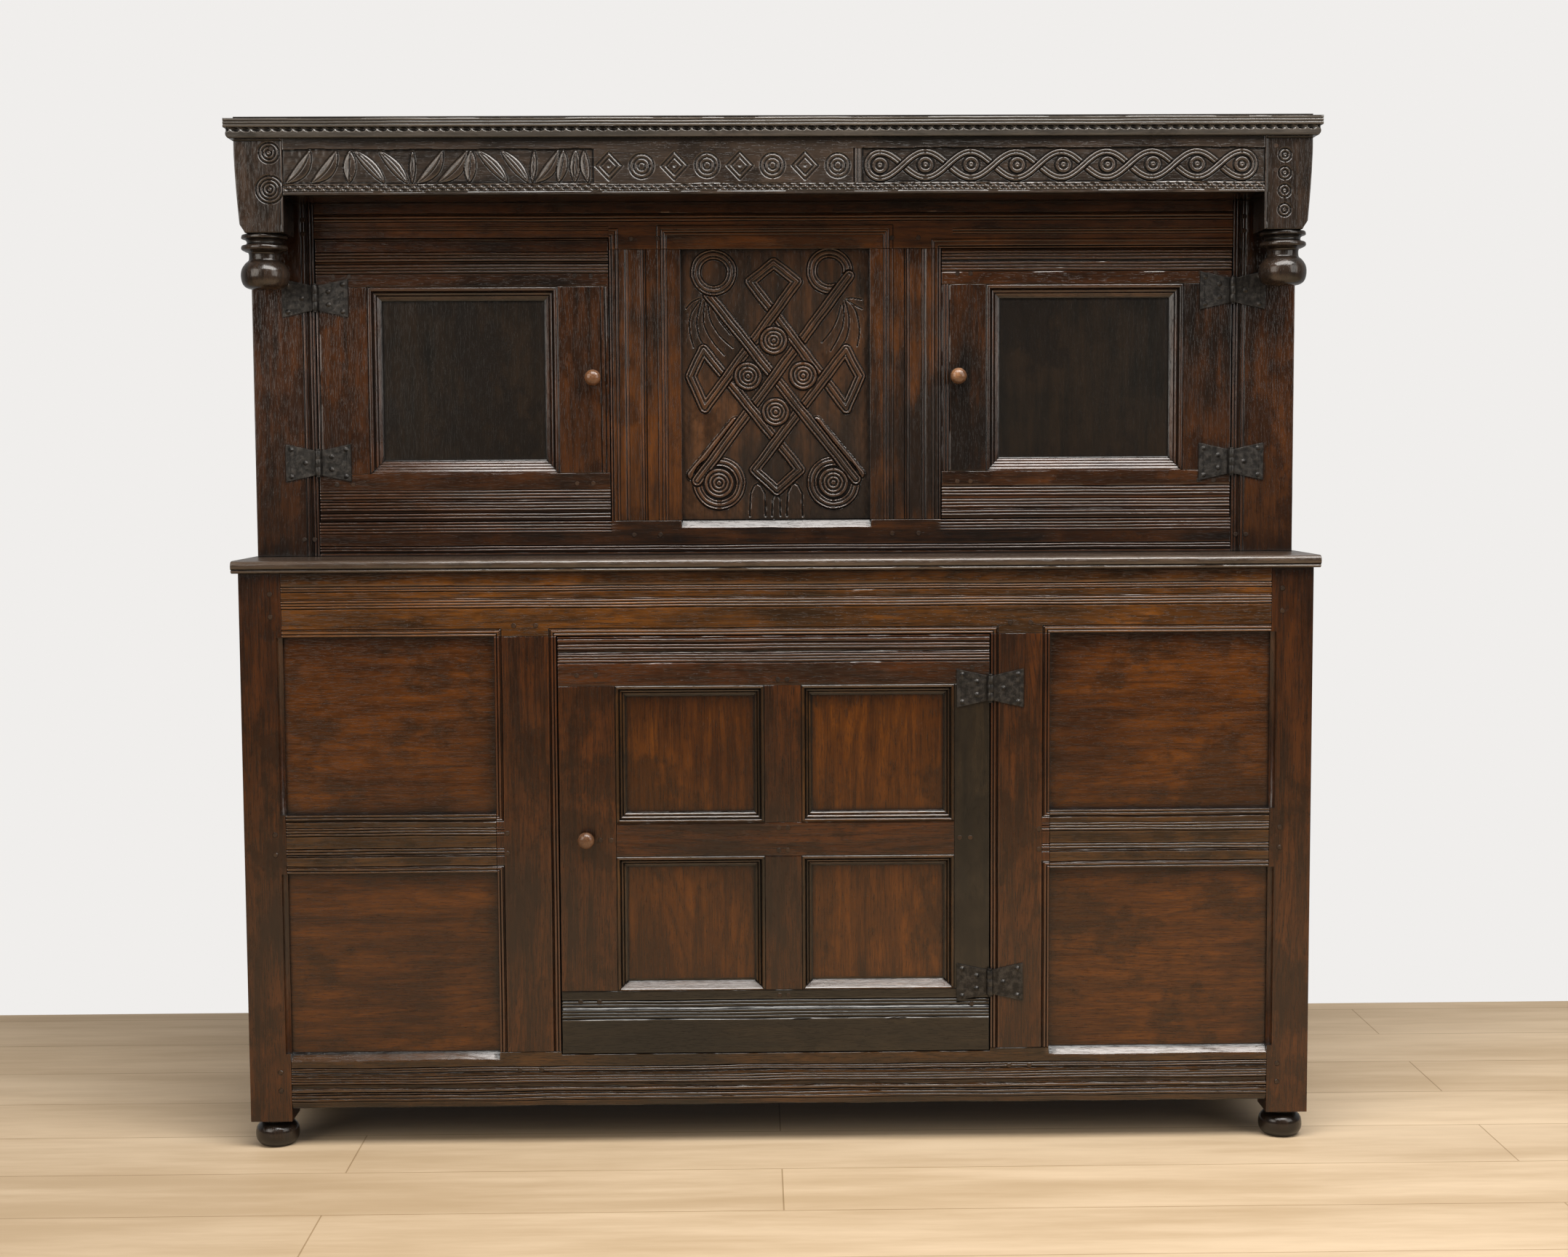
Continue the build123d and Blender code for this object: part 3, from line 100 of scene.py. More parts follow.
def colour(red, green, blue):
    """A colour as the eye names it, from 0 to 255, for a shader."""
    linear = [((c / 255 + 0.055) / 1.055) ** 2.4 if c > 10 else c / 255 / 12.92 for c in (red, green, blue)]
    return (*linear, 1.0)


def fresh_material(name):
    """A material without nodes, and the brush that adds them."""
    material = bpy.data.materials.new(name)
    material.use_nodes = True
    material.node_tree.nodes.clear()
    return material, Shade(material.node_tree)


def noise(where, scale, detail=2.0, rough=0.5):
    """Clouds of one size over a place."""
    return where.node("TexNoise", sockets={"Vector": where, "Scale": scale, "Detail": detail, "Roughness": rough})


def open_air(brush, reach, samples=4):
    """How open each place is to what lies within a reach."""
    return brush.node("AmbientOcclusion", {"samples": samples}, {"Distance": reach}, out=1)


def surface(brush, sockets):
    """The finished surface of a material."""
    brush.node("OutputMaterial", sockets={"Surface": brush.node("BsdfPrincipled", sockets=sockets)})


world = bpy.data.worlds.new("white_room")
bpy.context.scene.world = world
world.use_nodes = True
world.node_tree.nodes.clear()
sky = Shade(world.node_tree)
toward = sky.node("TexCoord")
side_y, side_z = [sky.node("SeparateXYZ", sockets={"Vector": toward}, out=number) for number in (1, 2)]
by_eye, by_gloss, by_glass = [sky.node("LightPath", out=number) for number in (0, 3, 6)]
mirrored = sky.maths("MAXIMUM", by_gloss, by_glass)
room_side = 1 - between(side_y, -0.15, 0.3)  # what stands in front of the cupboard is dim
wall_light = 1 - mirrored * (0.6 + room_side * 0.33)
daylight = sky.node(
    "Background", sockets={"Color": colour(240, 240, 244), "Strength": between(side_z, -0.08, 0.05) * 0.2}
)
wall = sky.node("Background", sockets={"Color": colour(240, 238, 236), "Strength": wall_light})
backdrop = sky.node("MixShader", sockets={0: sky.maths("MAXIMUM", by_eye, mirrored), 1: daylight, 2: wall})
sky.node("OutputWorld", sockets={"Surface": backdrop})

floor_mesh = bpy.data.meshes.new("floor")
floor_mesh.from_pydata([(-6, -6, 0), (6, -6, 0), (6, 0.62, 0), (-6, 0.62, 0)], [], [(0, 1, 2, 3)])
floor = bpy.data.objects.new("floor", floor_mesh)
bpy.context.scene.collection.objects.link(floor)
pale_boards, brush = fresh_material("pale_boards")
floor_at = brush.node("TexCoord", out=3)
floor_place = brush.node("Mapping", sockets={"Vector": floor_at, "Scale": (0.12, 1, 1)})
floor_grain, floor_tone = noise(floor_place, 14.0, 6.0, 0.65), noise(floor_place, 2.6, 3.0, 0.6)
floor_boards = brush.node(
    "TexBrick",
    {"offset": 0.37},
    {
        "Vector": floor_at, "Color1": (1, 1, 1, 1), "Color2": (0.92, 0.915, 0.91, 1), "Mortar": (0.6, 0.55, 0.48, 1),
        "Scale": 1.0, "Mortar Size": 0.0012, "Brick Width": 1.83, "Row Height": 0.19,
    },
)
floor_warmth = between(floor_grain * 0.5 + floor_tone * 0.5, 0.36, 0.64)
floor_colour = blended(floor_warmth, colour(190, 165, 132), colour(218, 195, 164))
floor_colour = brush.node("VectorMath", {"operation": "MULTIPLY"}, {0: floor_colour, 1: floor_boards})
floor_rough = 0.5 + (floor_grain - 0.5) * 0.2
surface(brush, {"Base Color": floor_colour, "Roughness": floor_rough, "Specular IOR Level": 0.3})
floor_mesh.materials.append(pale_boards)


def lamp(name, place, aim, size, watts, tint):
    """A soft lamp of the given width and height, turned to a point."""
    light = bpy.data.lights.new(name, "AREA")
    light.shape = "RECTANGLE"
    light.size, light.size_y = size
    light.energy = watts
    light.color = colour(*tint)[:3]
    made = bpy.data.objects.new(name, light)
    made.location = place
    made.rotation_euler = (Vector(aim) - Vector(place)).to_track_quat("-Z", "Y").to_euler()
    bpy.context.scene.collection.objects.link(made)


lamp("window_left", (-2.7, -2.7, 2.2), (0, 0, 0.9), (2.3, 2.3), 56, (255, 248, 238))
lamp("window_right", (2.9, -2.4, 2.1), (0, 0, 0.9), (2.0, 2.0), 36, (255, 250, 244))
lamp("ceiling", (0.7, -1.6, 3.2), (0.7, -1.3, 0), (3.2, 1.5), 165, (255, 252, 248))
lamp("back_room", (0.4, 2.6, 2.9), (0, 0, 1.1), (3.0, 2.0), 12, (250, 250, 255))

YAW, PITCH, ROLL = 0.01505, -0.07589, -0.00529
camera = bpy.data.objects.new("camera", bpy.data.cameras.new("camera"))
camera.data.lens, camera.data.sensor_width, camera.data.sensor_fit = 49.95, 36, "HORIZONTAL"
camera.matrix_world = Matrix.Translation((-0.04238, -3.69132, 1.09497))
for angle, axis in ((-YAW, "Z"), (math.pi / 2 + PITCH, "X"), (ROLL, "Z")):
    camera.matrix_world = camera.matrix_world @ Matrix.Rotation(angle, 4, axis)
bpy.context.scene.collection.objects.link(camera)
bpy.context.scene.camera = camera
bpy.context.scene.view_settings.view_transform = "Standard"

# ---- Posts, side rails and side panels ----
# Riven oak, squared and planed, then darkened by three centuries of smoke and wax.
# The posts run from the feet to the ledge, with the side rails tenoned between them.

OAK = {  # darkest, middle and warmest tone, how dull the wax is and how plain the grain shows
    "lower_oak": ((17, 11, 7), (42, 25, 15), (80, 43, 16), 0.2, 0.8),
    "waist_oak": ((20, 14, 9), (54, 35, 18), (108, 64, 20), 0.2, 0.8),
    "worn_oak": ((14, 11, 7), (40, 29, 18), (78, 49, 21), 0.2, 0.8),
    "panel_oak": ((20, 11, 6), (54, 27, 8), (94, 51, 12), 0.22, 0.7),
    "side_oak": ((22, 16, 11), (46, 33, 23), (74, 49, 28), 0.3, 0.8),
    "inner_oak": ((58, 44, 32), (104, 80, 56), (136, 108, 78), 0.7, 0.8),
    "muntin_oak": ((13, 10, 8), (34, 25, 19), (94, 54, 22), 0.2, 0.5),
    "upper_oak": ((10, 8, 7), (26, 20, 16), (72, 41, 19), 0.18, 0.5),
    "frieze_oak": ((9, 8, 7), (29, 25, 22), (58, 44, 34), 0.17, 0.45),
    # A lighter copy of the frieze oak for the frieze rail: painted light, as though more light fell on its carving.
    "frieze_oak_lit": ((10, 9, 8), (38, 34, 31), (66, 54, 45), 0.17, 0.45),
    # A lighter, greyer copy of the frieze oak for the cornices: a painted sheen.
    "cornice_oak_sheen": ((13, 12, 11), (60, 57, 53), (88, 81, 74), 0.2, 0.45),
    "carved_oak": ((12, 10, 8), (42, 34, 28), (88, 58, 36), 0.18, 0.3),
    "dusty_oak": ((16, 14, 12), (42, 36, 31), (68, 57, 47), 0.6, 0.8),
    "peg_oak": ((14, 10, 8), (36, 26, 19), (66, 44, 26), 0.3, 0.5),
    "dark_panel": ((12, 11, 10), (20, 18, 15), (36, 27, 19), 0.24, 0.2),
    "stained_oak": ((12, 11, 9), (24, 21, 17), (44, 35, 24), 0.2, 0.5),
    "ledge_oak": ((26, 20, 16), (57, 44, 35), (84, 69, 56), 0.24, 0.7),
    "knob_wood": ((50, 30, 18), (104, 70, 46), (150, 108, 76), 0.15, 0.5),
}
BLACK = (0.004, 0.003, 0.0025, 1)
MM = 0.001
woods = {}


def oak(tone, grain):
    """Waxed oak with its grain along x, y or z, painted with shade in its cuts and recesses and with highlights on
    what faces up.
    """
    if (tone, grain) in woods:
        return woods[tone, grain]
    *tones, dullness, plain = OAK[tone]
    darkest, middle, warmest = [colour(*shade) for shade in tones]
    waxed = dullness < 0.5
    material, brush = fresh_material(f"{tone}_{grain}")
    place = brush.node("TexCoord", out=3)

    def along(stretch, shift=0.0):
        scale = [1.0, 1.0, 1.0]
        scale["xyz".index(grain)] = 1 / stretch
        return brush.node("Mapping", sockets={"Vector": place, "Scale": scale, "Location": (shift, shift, shift)})

    rings = noise(along(7, 0.37), 4.0, 2.0, 0.45)
    veins = between(brush.maths("SINE", rings * 260.0), 0.2, 1.0)
    fibre = noise(along(26), 430.0, 3.0, 0.65)
    pores = between(noise(along(13, 0.2), 700.0, 2.0, 0.6), 0.54, 0.64)
    patches = noise(along(1.4, 0.9), 9.0, 6.0, 0.68)
    clouds = noise(along(1.3, 0.5), 3.4, 3.0, 0.55)
    streaks = noise(along(12, 0.7), 60.0, 4.0, 0.65)
    lively = clouds * 0.8 + patches * 0.45 + streaks * 0.5
    wood = blended(between(lively, 0.7, 1.08), middle, warmest)
    stains = between(patches + (clouds - 0.5) * 0.7, 0.52, 0.64) * 0.62
    dark_fibre = (1 - between(fibre + (streaks - 0.5) * 0.8, 0.28, 0.6)) * 0.7 * plain
    dark_veins = veins * between(streaks, 0.38, 0.62) * 0.5 * plain
    dark_pores = pores * between(streaks, 0.3, 0.55) * 0.7 * plain
    # Painted shade: a wide soft darkening near frames and in recesses, by how enclosed each place is, broken up by
    # patches of old soot and dirt.
    recess_shade_and_soot = (1 - between(open_air(brush, 0.05) + (patches - 0.5) * 0.9, 0.45, 0.98)) * 0.8
    for share in (stains, dark_fibre, dark_veins, dark_pores, recess_shade_and_soot):
        wood = blended(share, wood, darkest)
    # Painted shade: narrow cracks and quirks are darkened to near black by how enclosed they are, partly dirt, partly
    # the shade that falls there.
    crevice_shade_and_grime = 1 - between(open_air(brush, 0.01), 0.25, 0.85)
    wood = blended(crevice_shade_and_grime * 0.85, wood, BLACK)
    wear_and_light = brush.node("Attribute", {"attribute_name": "wear_and_light"}, out=2)
    # Painted shade: what is cut deep is darkened towards black.
    wood = blended(between(wear_and_light * -1, 0.05, 0.6) * 0.93, wood, BLACK)
    # Lighter on what stands proud: polish from use, and a painted highlight where it faces up.
    wood = blended(between(wear_and_light + (fibre - 0.5) * 0.6, 0.25, 0.9) * 0.35, wood, warmest)
    rough = dullness + (patches - 0.5) * 0.14 + crevice_shade_and_grime * 0.3 + (fibre - 0.5) * (0.1 * plain) + pores * (0.07 * plain)
    planed = noise(along(2.6, 0.1), 26.0, 3.0, 0.6)
    nicks = noise(along(2.2, 0.6), 240.0, 2.0, 0.5)
    height = fibre * (0.17 * plain) - pores * (0.26 * plain) - veins * (0.06 * plain)
    height = height + planed * 1.3 + nicks * (0.15 * plain)
    surface(brush, {
        "Base Color": wood,
        "Roughness": rough,
        "Normal": brush.node("Bump", sockets={"Strength": 0.5, "Distance": 0.0012, "Height": height}),
        "Specular IOR Level": 0.5 if waxed else 0.2,
        "Coat Weight": between(wear_and_light + (planed - 0.5) * 0.8, 0.2, 1.0) * (0.7 if waxed else 0.0),
        "Coat Roughness": 0.13,
    })
    woods[tone, grain] = material
    return material


def kept(names, material, worn_edge=0.7):
    """A timber of the frame as it is, with its arrises rounded by use."""
    for name in names.split():
        piece = nodes[name]
        weld = piece.modifiers.new("weld", "WELD")
        weld.merge_threshold = 0.00002
        bevel = piece.modifiers.new("worn_edge", "BEVEL")
        bevel.width, bevel.segments = worn_edge * MM, 2
        bevel.limit_method, bevel.angle_limit = "ANGLE", math.radians(40)
        bevel.use_clamp_overlap = True
        for material_slot in piece.material_slots:
            material_slot.link = "OBJECT"
            material_slot.material = material


kept("front_posts rear_posts", oak("lower_oak", "z"), 1.2)
kept("side_rails", oak("side_oak", "y"))
kept("side_panels", oak("side_oak", "z"))
kept("rear_rails", oak("inner_oak", "x"))
kept("back_boards", oak("inner_oak", "z"))
# The bottom boards take the darker side oak, partly for age, partly as painted shade to darken what lies under the
# case.
kept("bottom_boards", oak("side_oak", "y"))
kept("deck_boards", oak("inner_oak", "y"))

# ---- Feet ----
# Two bun feet of dark oak under the front posts, each turned with the dowel that holds
# it. The rear posts run down to the floor as plain blocks.


def tube(start, rings, sides):
    """The faces between rings of points, the first point numbered start, and over both ends."""
    faces = []
    for first in range(start, start + (rings - 1) * sides, sides):
        for step in range(sides):
            here, there = first + step, first + (step + 1) % sides
            faces.append((here, there, there + sides, here + sides))
    last = start + (rings - 1) * sides
    return [*faces, tuple(range(start, start + sides))[::-1], tuple(range(last, last + sides))]


def turned(name, spots, profile, material, node, body="carcass", axis="z", turns=56):
    """Turnings of one profile of (radius, place along the axis) in millimetres, one at each spot."""
    verts, faces = [], []
    for spot in spots:
        faces += tube(len(verts), len(profile), turns)
        for radius, place in profile:
            for step in range(turns):
                angle = 2 * math.pi * step / turns
                u, v = radius * math.cos(angle), radius * math.sin(angle)
                local = (u, v, place) if axis == "z" else (u, place, v)
                verts.append([(a + b) * MM for a, b in zip(spot, local)])
    made_piece(name, verts, faces, material, node, body)


def made_piece(name, verts, faces, material, node, body="carcass", crease=38, wear_and_light=None):
    """A finished piece from its mesh, set on its body in place of its node."""
    mesh = bpy.data.meshes.new(name)
    mesh.from_pydata(verts, [], faces)
    mesh.update()
    shell = bmesh.new()
    shell.from_mesh(mesh)
    bmesh.ops.recalc_face_normals(shell, faces=shell.faces)
    shell.to_mesh(mesh)
    shell.free()
    mesh.shade_smooth()
    mesh.set_sharp_from_angle(angle=math.radians(crease))
    # The field that the oak reads: painted shade in the cuts, painted highlights where it faces up, and polish from
    # use.
    if wear_and_light is not None:
        mesh.attributes.new("wear_and_light", "FLOAT", "POINT").data.foreach_set("value", wear_and_light.astype(np.float32))
    piece = bpy.data.objects.new(name, mesh)
    bpy.context.scene.collection.objects.link(piece)
    mesh.materials.append(material)
    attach(piece, body)
    if node:
        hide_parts(node)
    return piece


def smooth_line(corners, steps=5):
    """A line through the corners, rounded between them (Catmull-Rom)."""
    points = np.array([corners[0], *corners, corners[-1]], float)
    t = np.arange(steps)[:, None] / steps
    line = [
        0.5 * (2 * b + (c - a) * t + (2 * a - 5 * b + 4 * c - d) * t**2 + (3 * b - a - 3 * c + d) * t**3)
        for a, b, c, d in zip(points, points[1:], points[2:], points[3:])
    ]
    return np.concatenate([*line, points[-1:]])


def pair_of(node, reach):
    """The two axes of a pair of turnings, this far in from the ends of their node."""
    low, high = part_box(node)
    x, y = high.x / MM - reach, (low.y + high.y) / 2 / MM
    return [(-x, y, 0), (x, y, 0)]


foot_profile = smooth_line(
    [(22, 0.2), (28, 2.5), (33.5, 10), (34.8, 19), (33, 29), (27, 36), (22.5, 38.5), (22, 40), (25, 42), (25, 44.5)]
)
turned("turned_feet", pair_of("front_feet", 35), foot_profile, oak("frieze_oak", "z"), "front_feet")

# ---- Moulded timbers of the lower front ----
# Rails and muntins 34 mm thick, pegged together. Their mouldings were scratched along
# the grain with a shaped iron, so each line wanders a little and its edges are worn.

FRONT, UPPER_FRONT, FRIEZE_FRONT = -257.5, -115.5, -219.5


def waver(t, reach, seed):
    """A slow hand's drift along a timber, between -1 and 1, with waves of about this reach."""
    phase = np.random.default_rng(seed).uniform(0, 2 * math.pi, 3)
    turn = np.asarray(t) * 2 * math.pi / reach
    return (np.sin(turn + phase[0]) + 0.6 * np.sin(turn * 1.73 + phase[1]) + 0.4 * np.sin(turn * 3.1 + phase[2])) / 2


def marked(low, high, step, lines=(), close=()):
    """Places along or across a timber: few where it is flat, more at its arrises, over the lines of its
    moulding and in the close stretches (from, to, pitch)."""
    needed = [low, low + 0.35, low + 1.1, high - 1.1, high - 0.35, high]
    for _, start, end, _ in lines:
        start, end = sorted((start, end))
        needed += [start, start + 0.3, start + 0.75, end - 0.75, end - 0.3, end]
        needed += [start + (end - start) * share for share in (0.33, 0.5, 0.67)]
    for start, end, pitch in close:
        needed += list(np.arange(start, end + pitch / 2, pitch))
    needed = np.array([place for place in needed if low <= place <= high])
    even = np.linspace(low + 2.2, high - 2.2, max(2, int(round((high - low - 4.4) / step)) + 1))
    even = [place for place in even if np.min(np.abs(needed - place)) > min(step, 1) * 0.4]
    return np.unique(np.round(np.concatenate([needed, even]), 2))


def scratched(t, lines):
    """Depth of the mouldings across a timber. A reed stands between two quirks, a hollow is cut in,
    a line is a V, a step drops all between its ends, a slope falls from its first end to its second."""
    depth = np.zeros_like(t)
    for kind, start, end, deep in lines:
        low, high = sorted((start, end))
        half = (high - low) / 2
        inner = np.minimum(t - low, high - t)
        crown = np.sqrt(np.clip(1 - (1 - inner / half) ** 2, 0, 1))
        if kind == "reed":
            shape = deep * np.maximum(0.8 * (1 - crown), 1 - inner / 0.75)
        elif kind == "hollow":
            shape = deep * crown
        elif kind == "line":
            shape = deep * inner / half
        elif kind == "step":
            shape = deep * np.clip(inner / 0.8, 0, 1)
        else:
            shape = deep * (t - start) / (end - start)
        depth = np.where(inner > -0.001, np.maximum(depth, shape), depth)
    return depth


def averaged(field, xs, zs, reach=3.0):
    """The mean of a field over this reach round every place."""
    for places in (xs, zs):
        weights = (np.abs(places[:, None] - places[None, :]) <= reach) * np.gradient(places)[None, :]
        field = (weights / weights.sum(1, keepdims=True) @ field).T
    return field


def edged(x, z, opening, sides, lines):
    """Depth of a moulding that runs round an opening (left, right, foot, head), mitred at its corners."""
    gaps = {"left": opening[0] - x, "right": x - opening[1], "foot": opening[2] - z, "head": z - opening[3]}
    out = np.maximum.reduce([gaps[side] for side in sides])
    for side in gaps:
        if side not in sides:
            out = np.where(gaps[side] > 0.001, -1, out)
    return np.where(out >= 0, scratched(out, lines), 0)


def rounding(from_edge, radius):
    """Depth of an arris that is rounded to a radius by use."""
    inset = np.clip(radius - from_edge, 0, None)
    return radius - np.sqrt(np.clip(radius**2 - inset**2, 0, None))


def wear_and_light_field(depth, xs, zs, up_facing_highlight=0.8, slope=None):
    """From -1 in what is cut deep to 1 on what stands proud: painted shade in the cuts and lighter high places,
    polished by use. What slopes up is made lighter still: a painted highlight.
    """
    wear_and_light = np.clip((averaged(depth, xs, zs) - depth) / 0.6, -1, 1)
    slope = np.gradient(depth, zs, axis=1) if slope is None else slope
    # Painted highlight: what slopes up is made lighter and glossier.
    return np.clip(wear_and_light + up_facing_highlight * np.clip(slope, 0, 1) * (wear_and_light > -0.5), -1, 1)


def timber(
    name, x, z, face, lines, tone, node=None, body="carcass", run="x", thick=34, step=(14, 3), close=((), ()),
    cut=None, wander=(0.6, 1), top=None, foot=None, worn_round=1.0, polish_and_highlight=1.0,
):
    """A board with the lines of its moulding worked along its front, and with what else is cut out of it.
    run says which way its grain runs, wander how far its lines stray from straight and the last argument how
    far its high places are lightened: polish from use, and a painted highlight on what faces up."""
    if run == "x":
        xs, zs = marked(*x, step[0], (), close[0]), marked(*z, step[1], lines, close[1])
    else:
        xs, zs = marked(*x, step[1], lines, close[0]), marked(*z, step[0], (), close[1])
    across_x, up_z = np.meshgrid(xs, zs, indexing="ij")
    along, over = (across_x, up_z) if run == "x" else (up_z, across_x)
    amount, seed = wander
    depth = scratched(over, lines) * (1 + 0.22 * waver(along + 37 * over, 150, seed + 2))
    if cut is not None:
        depth = np.maximum(depth, cut(across_x, up_z)) if lines else cut(across_x, up_z)
    from_end = np.minimum(xs - x[0], x[1] - xs)[:, None]
    from_edge = np.minimum(zs - z[0], z[1] - zs)[None, :]
    radius = worn_round * (1.1 + 0.35 * waver(across_x + up_z, 90, len(name)))
    depth = depth + rounding(np.minimum(from_end, from_edge), radius)
    wear_and_light = wear_and_light_field(depth, xs, zs)
    wear_and_light = np.where(wear_and_light > 0, np.clip(wear_and_light * polish_and_highlight, 0, 1), wear_and_light)
    stray = amount * (waver(along + 4 * over, 420, seed) + 0.35 * waver(along + 6 * over, 70, seed + 1))
    if run == "x":
        up_z = up_z + stray * np.clip(from_edge / 8, 0, 1)
    else:
        across_x = across_x + stray * np.clip(from_end / 8, 0, 1)
    if top is not None:  # the upper edge isn't straight
        up_z = up_z - (z[1] - top(across_x)) * np.clip(1 - (z[1] - up_z) / 22, 0, 1)
    if foot is not None:  # nor is the lower one
        up_z = up_z + (foot(across_x) - z[0]) * np.clip(1 - (up_z - z[0]) / 41, 0, 1)
    return relief(name, across_x, up_z, face, depth, thick, wear_and_light, oak(tone, run), node, body)


def relief(name, across_x, up_z, face, depth, thick, wear_and_light, material, node=None, body="carcass"):
    """A closed solid from a field of depths over x and z, with square sides and a flat back."""
    wide, high = across_x.shape
    number = np.arange(wide * high).reshape(wide, high)
    rim = np.concatenate([number[:, 0], number[-1, 1:], number[-2::-1, -1], number[0, -2:0:-1]])
    flat = np.stack([across_x, face + depth, up_z], -1).reshape(-1, 3)
    behind = flat[rim].copy()
    behind[:, 1] = face + thick
    rear = np.arange(len(rim)) + wide * high
    quads = np.stack([number[:-1, :-1], number[1:, :-1], number[1:, 1:], number[:-1, 1:]], -1).reshape(-1, 4)
    sides = np.stack([rim, rear, np.roll(rear, -1), np.roll(rim, -1)], -1)
    verts = np.concatenate([flat, behind]) * MM
    faces = [tuple(q) for q in [*quads.tolist(), *sides.tolist(), rear[::-1].tolist()]]
    wear_and_light = np.concatenate([wear_and_light.ravel(), np.zeros(len(rim))])
    return made_piece(name, verts.tolist(), faces, material, node, body, 42, wear_and_light)


def joined(name, pieces, node):
    """Like pieces of one node as one piece."""
    bpy.ops.object.select_all(action="DESELECT")
    for piece in pieces:
        piece.select_set(True)
    bpy.context.view_layer.objects.active = pieces[0]
    bpy.ops.object.join()
    pieces[0].name = name
    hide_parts(node)


def reeds(deep, *edges):
    """Reeds of one depth side by side, each from one edge to the next."""
    return [("reed", start, end, deep) for start, end in zip(edges, edges[1:])]


BAYS, DOORWAY = ((-784, -450), (432, 784)), (-351, 337)  # what stands open between posts and muntins
FOOT, MID_RAIL, WAIST = 155, (446, 541), (824, 926)
EDGING = [("reed", 0, 4.5, 2.8), ("reed", 4.5, 9.5, 2.4), ("line", 10, 13, 1.6)]
OPENINGS = [  # of the lower front, and the sides on which a moulding runs round each
    ((*BAYS[0], MID_RAIL[1], WAIST[0]), ("right", "head", "foot")), ((*BAYS[0], FOOT, MID_RAIL[0]), ("right", "head")),
    ((*DOORWAY, 150, WAIST[0]), ("left", "right", "head")),
    ((*BAYS[1], MID_RAIL[1], WAIST[0]), ("left", "head", "foot")), ((*BAYS[1], FOOT, MID_RAIL[0]), ("left", "head")),
]


def lower_edges(x, z):
    """The moulding round the openings of the lower front."""
    return np.maximum.reduce([edged(x, z, opening, sides, EDGING) for opening, sides in OPENINGS])


def sill_cut(x, z):
    """The sloping sill below each side panel."""
    bays = (np.abs(x) < BAYS[1][1]) & ((x < BAYS[0][1]) | (x > BAYS[1][0]))
    return np.where(bays, np.clip(z - 143 + 0.6 * waver(x, 200, 8), 0, 12), 0)


def bottom_top(x):
    """The rail stands lower under the door."""
    return np.where((x > DOORWAY[0]) & (x < DOORWAY[1]), 150.0, 155.0)


def bottom_foot(x):
    """Its lower edge was never straight."""
    return 65.6 + 1.5 * np.abs(waver(x, 900, 5)) + 0.5 * waver(x, 160, 6)


bottom_lines = [
    *reeds(2.0, 130.5, 127, 123.5), *reeds(2.3, 116.5, 112.3, 108.2, 104), ("hollow", 103.5, 94, 2.2),
    ("line", 91.5, 88.5, 2.2), *reeds(2.2, 86, 80.5, 75), ("slope", 75, 64.9, 2.6),
]
bay_ends = [(at - 0.5, at + 0.5, 1.0) for at in (-450, -351, 337, 432)]
timber(
    "bottom_rail_moulded", (-784, 784), (65, 155), FRONT, bottom_lines, "worn_oak", "bottom_rail",
    close=(bay_ends, [(142, 155, 1.5)]), cut=sill_cut, wander=(0.9, 3), top=bottom_top, foot=bottom_foot,
)
waist_lines = [
    *reeds(2.0, 903.5, 899.7, 896), ("line", 886, 883.5, 1.2), *reeds(2.3, 882.5, 878, 873.6, 869.4),
]
corners = [(-452, -436, 0.65), (-365, -350, 0.65), (336, 351, 0.65), (418, 433, 0.65)]
timber(
    "waist_rail_moulded", (-784, 784), WAIST, FRONT, waist_lines, "waist_oak", "waist_rail",
    close=(corners, [(824, 838, 0.5)]), cut=lower_edges, wander=(0.5, 11),
)
mid_lines = [*reeds(2.3, 520, 515.5, 511, 506.5), *reeds(2.3, 486, 481.5, 477), ("line", 475, 472.4, 1.5)]


def muntin_cut(x, z):
    """The moulding turns off the muntins where the mid rails meet them, and the reeds run a little way on."""
    meeting = ((x < -437) | (x > 419)) & (z > 459) & (z < 528)
    return np.maximum(lower_edges(x, z), np.where(meeting, scratched(z, mid_lines), 0))


muntins = [
    timber(
        f"muntin_{seed}", (left, right), (FOOT, WAIST[0]), FRONT, [], "lower_oak", run="z", cut=muntin_cut,
        close=([(left, left + 13.5, 0.5), (right - 13.5, right, 0.5)], [(445, 542, 0.8)]), wander=(0.3, seed),
    )
    for left, right, seed in ((-450, -351, 21), (337, 432, 25))
]
joined("muntins_moulded", muntins, "lower_muntins")
mids = [
    timber(
        f"mid_rail_{seed}", bay, MID_RAIL, FRONT, mid_lines, "worn_oak", cut=lower_edges, wander=(0.9, seed),
        close=((), [(446, 459.5, 0.5), (527.5, 541, 0.5)]),
    )
    for bay, seed in zip(BAYS, (31, 35))
]
joined("mid_rails_moulded", mids, "mid_rails")
kept("front_panels", oak("panel_oak", "x"), 0.5)

# ---- Ledge ----
# The wide oak boards between the two stages, laid over the rails, with a bead and a
# rounded nose along the front. They are worn and faded by what has stood on them.
BACK, UNDERSIDE, TOP = -81.5, 926, 946
ledge_section = [  # from the underside to the top: a small bead, a quirk and the worn nose
    (-262, 926), (-266, 926.3), (-268.6, 928), (-269.2, 929.6), (-268.4, 931.2), (-267, 932), (-266.8, 932.7),
    (-269.6, 933.2), (-270.8, 935), (-271.3, 938), (-270.9, 941), (-269.4, 943.8), (-266.8, 945.4), (-262, 945.9),
    (-250, 946),
]
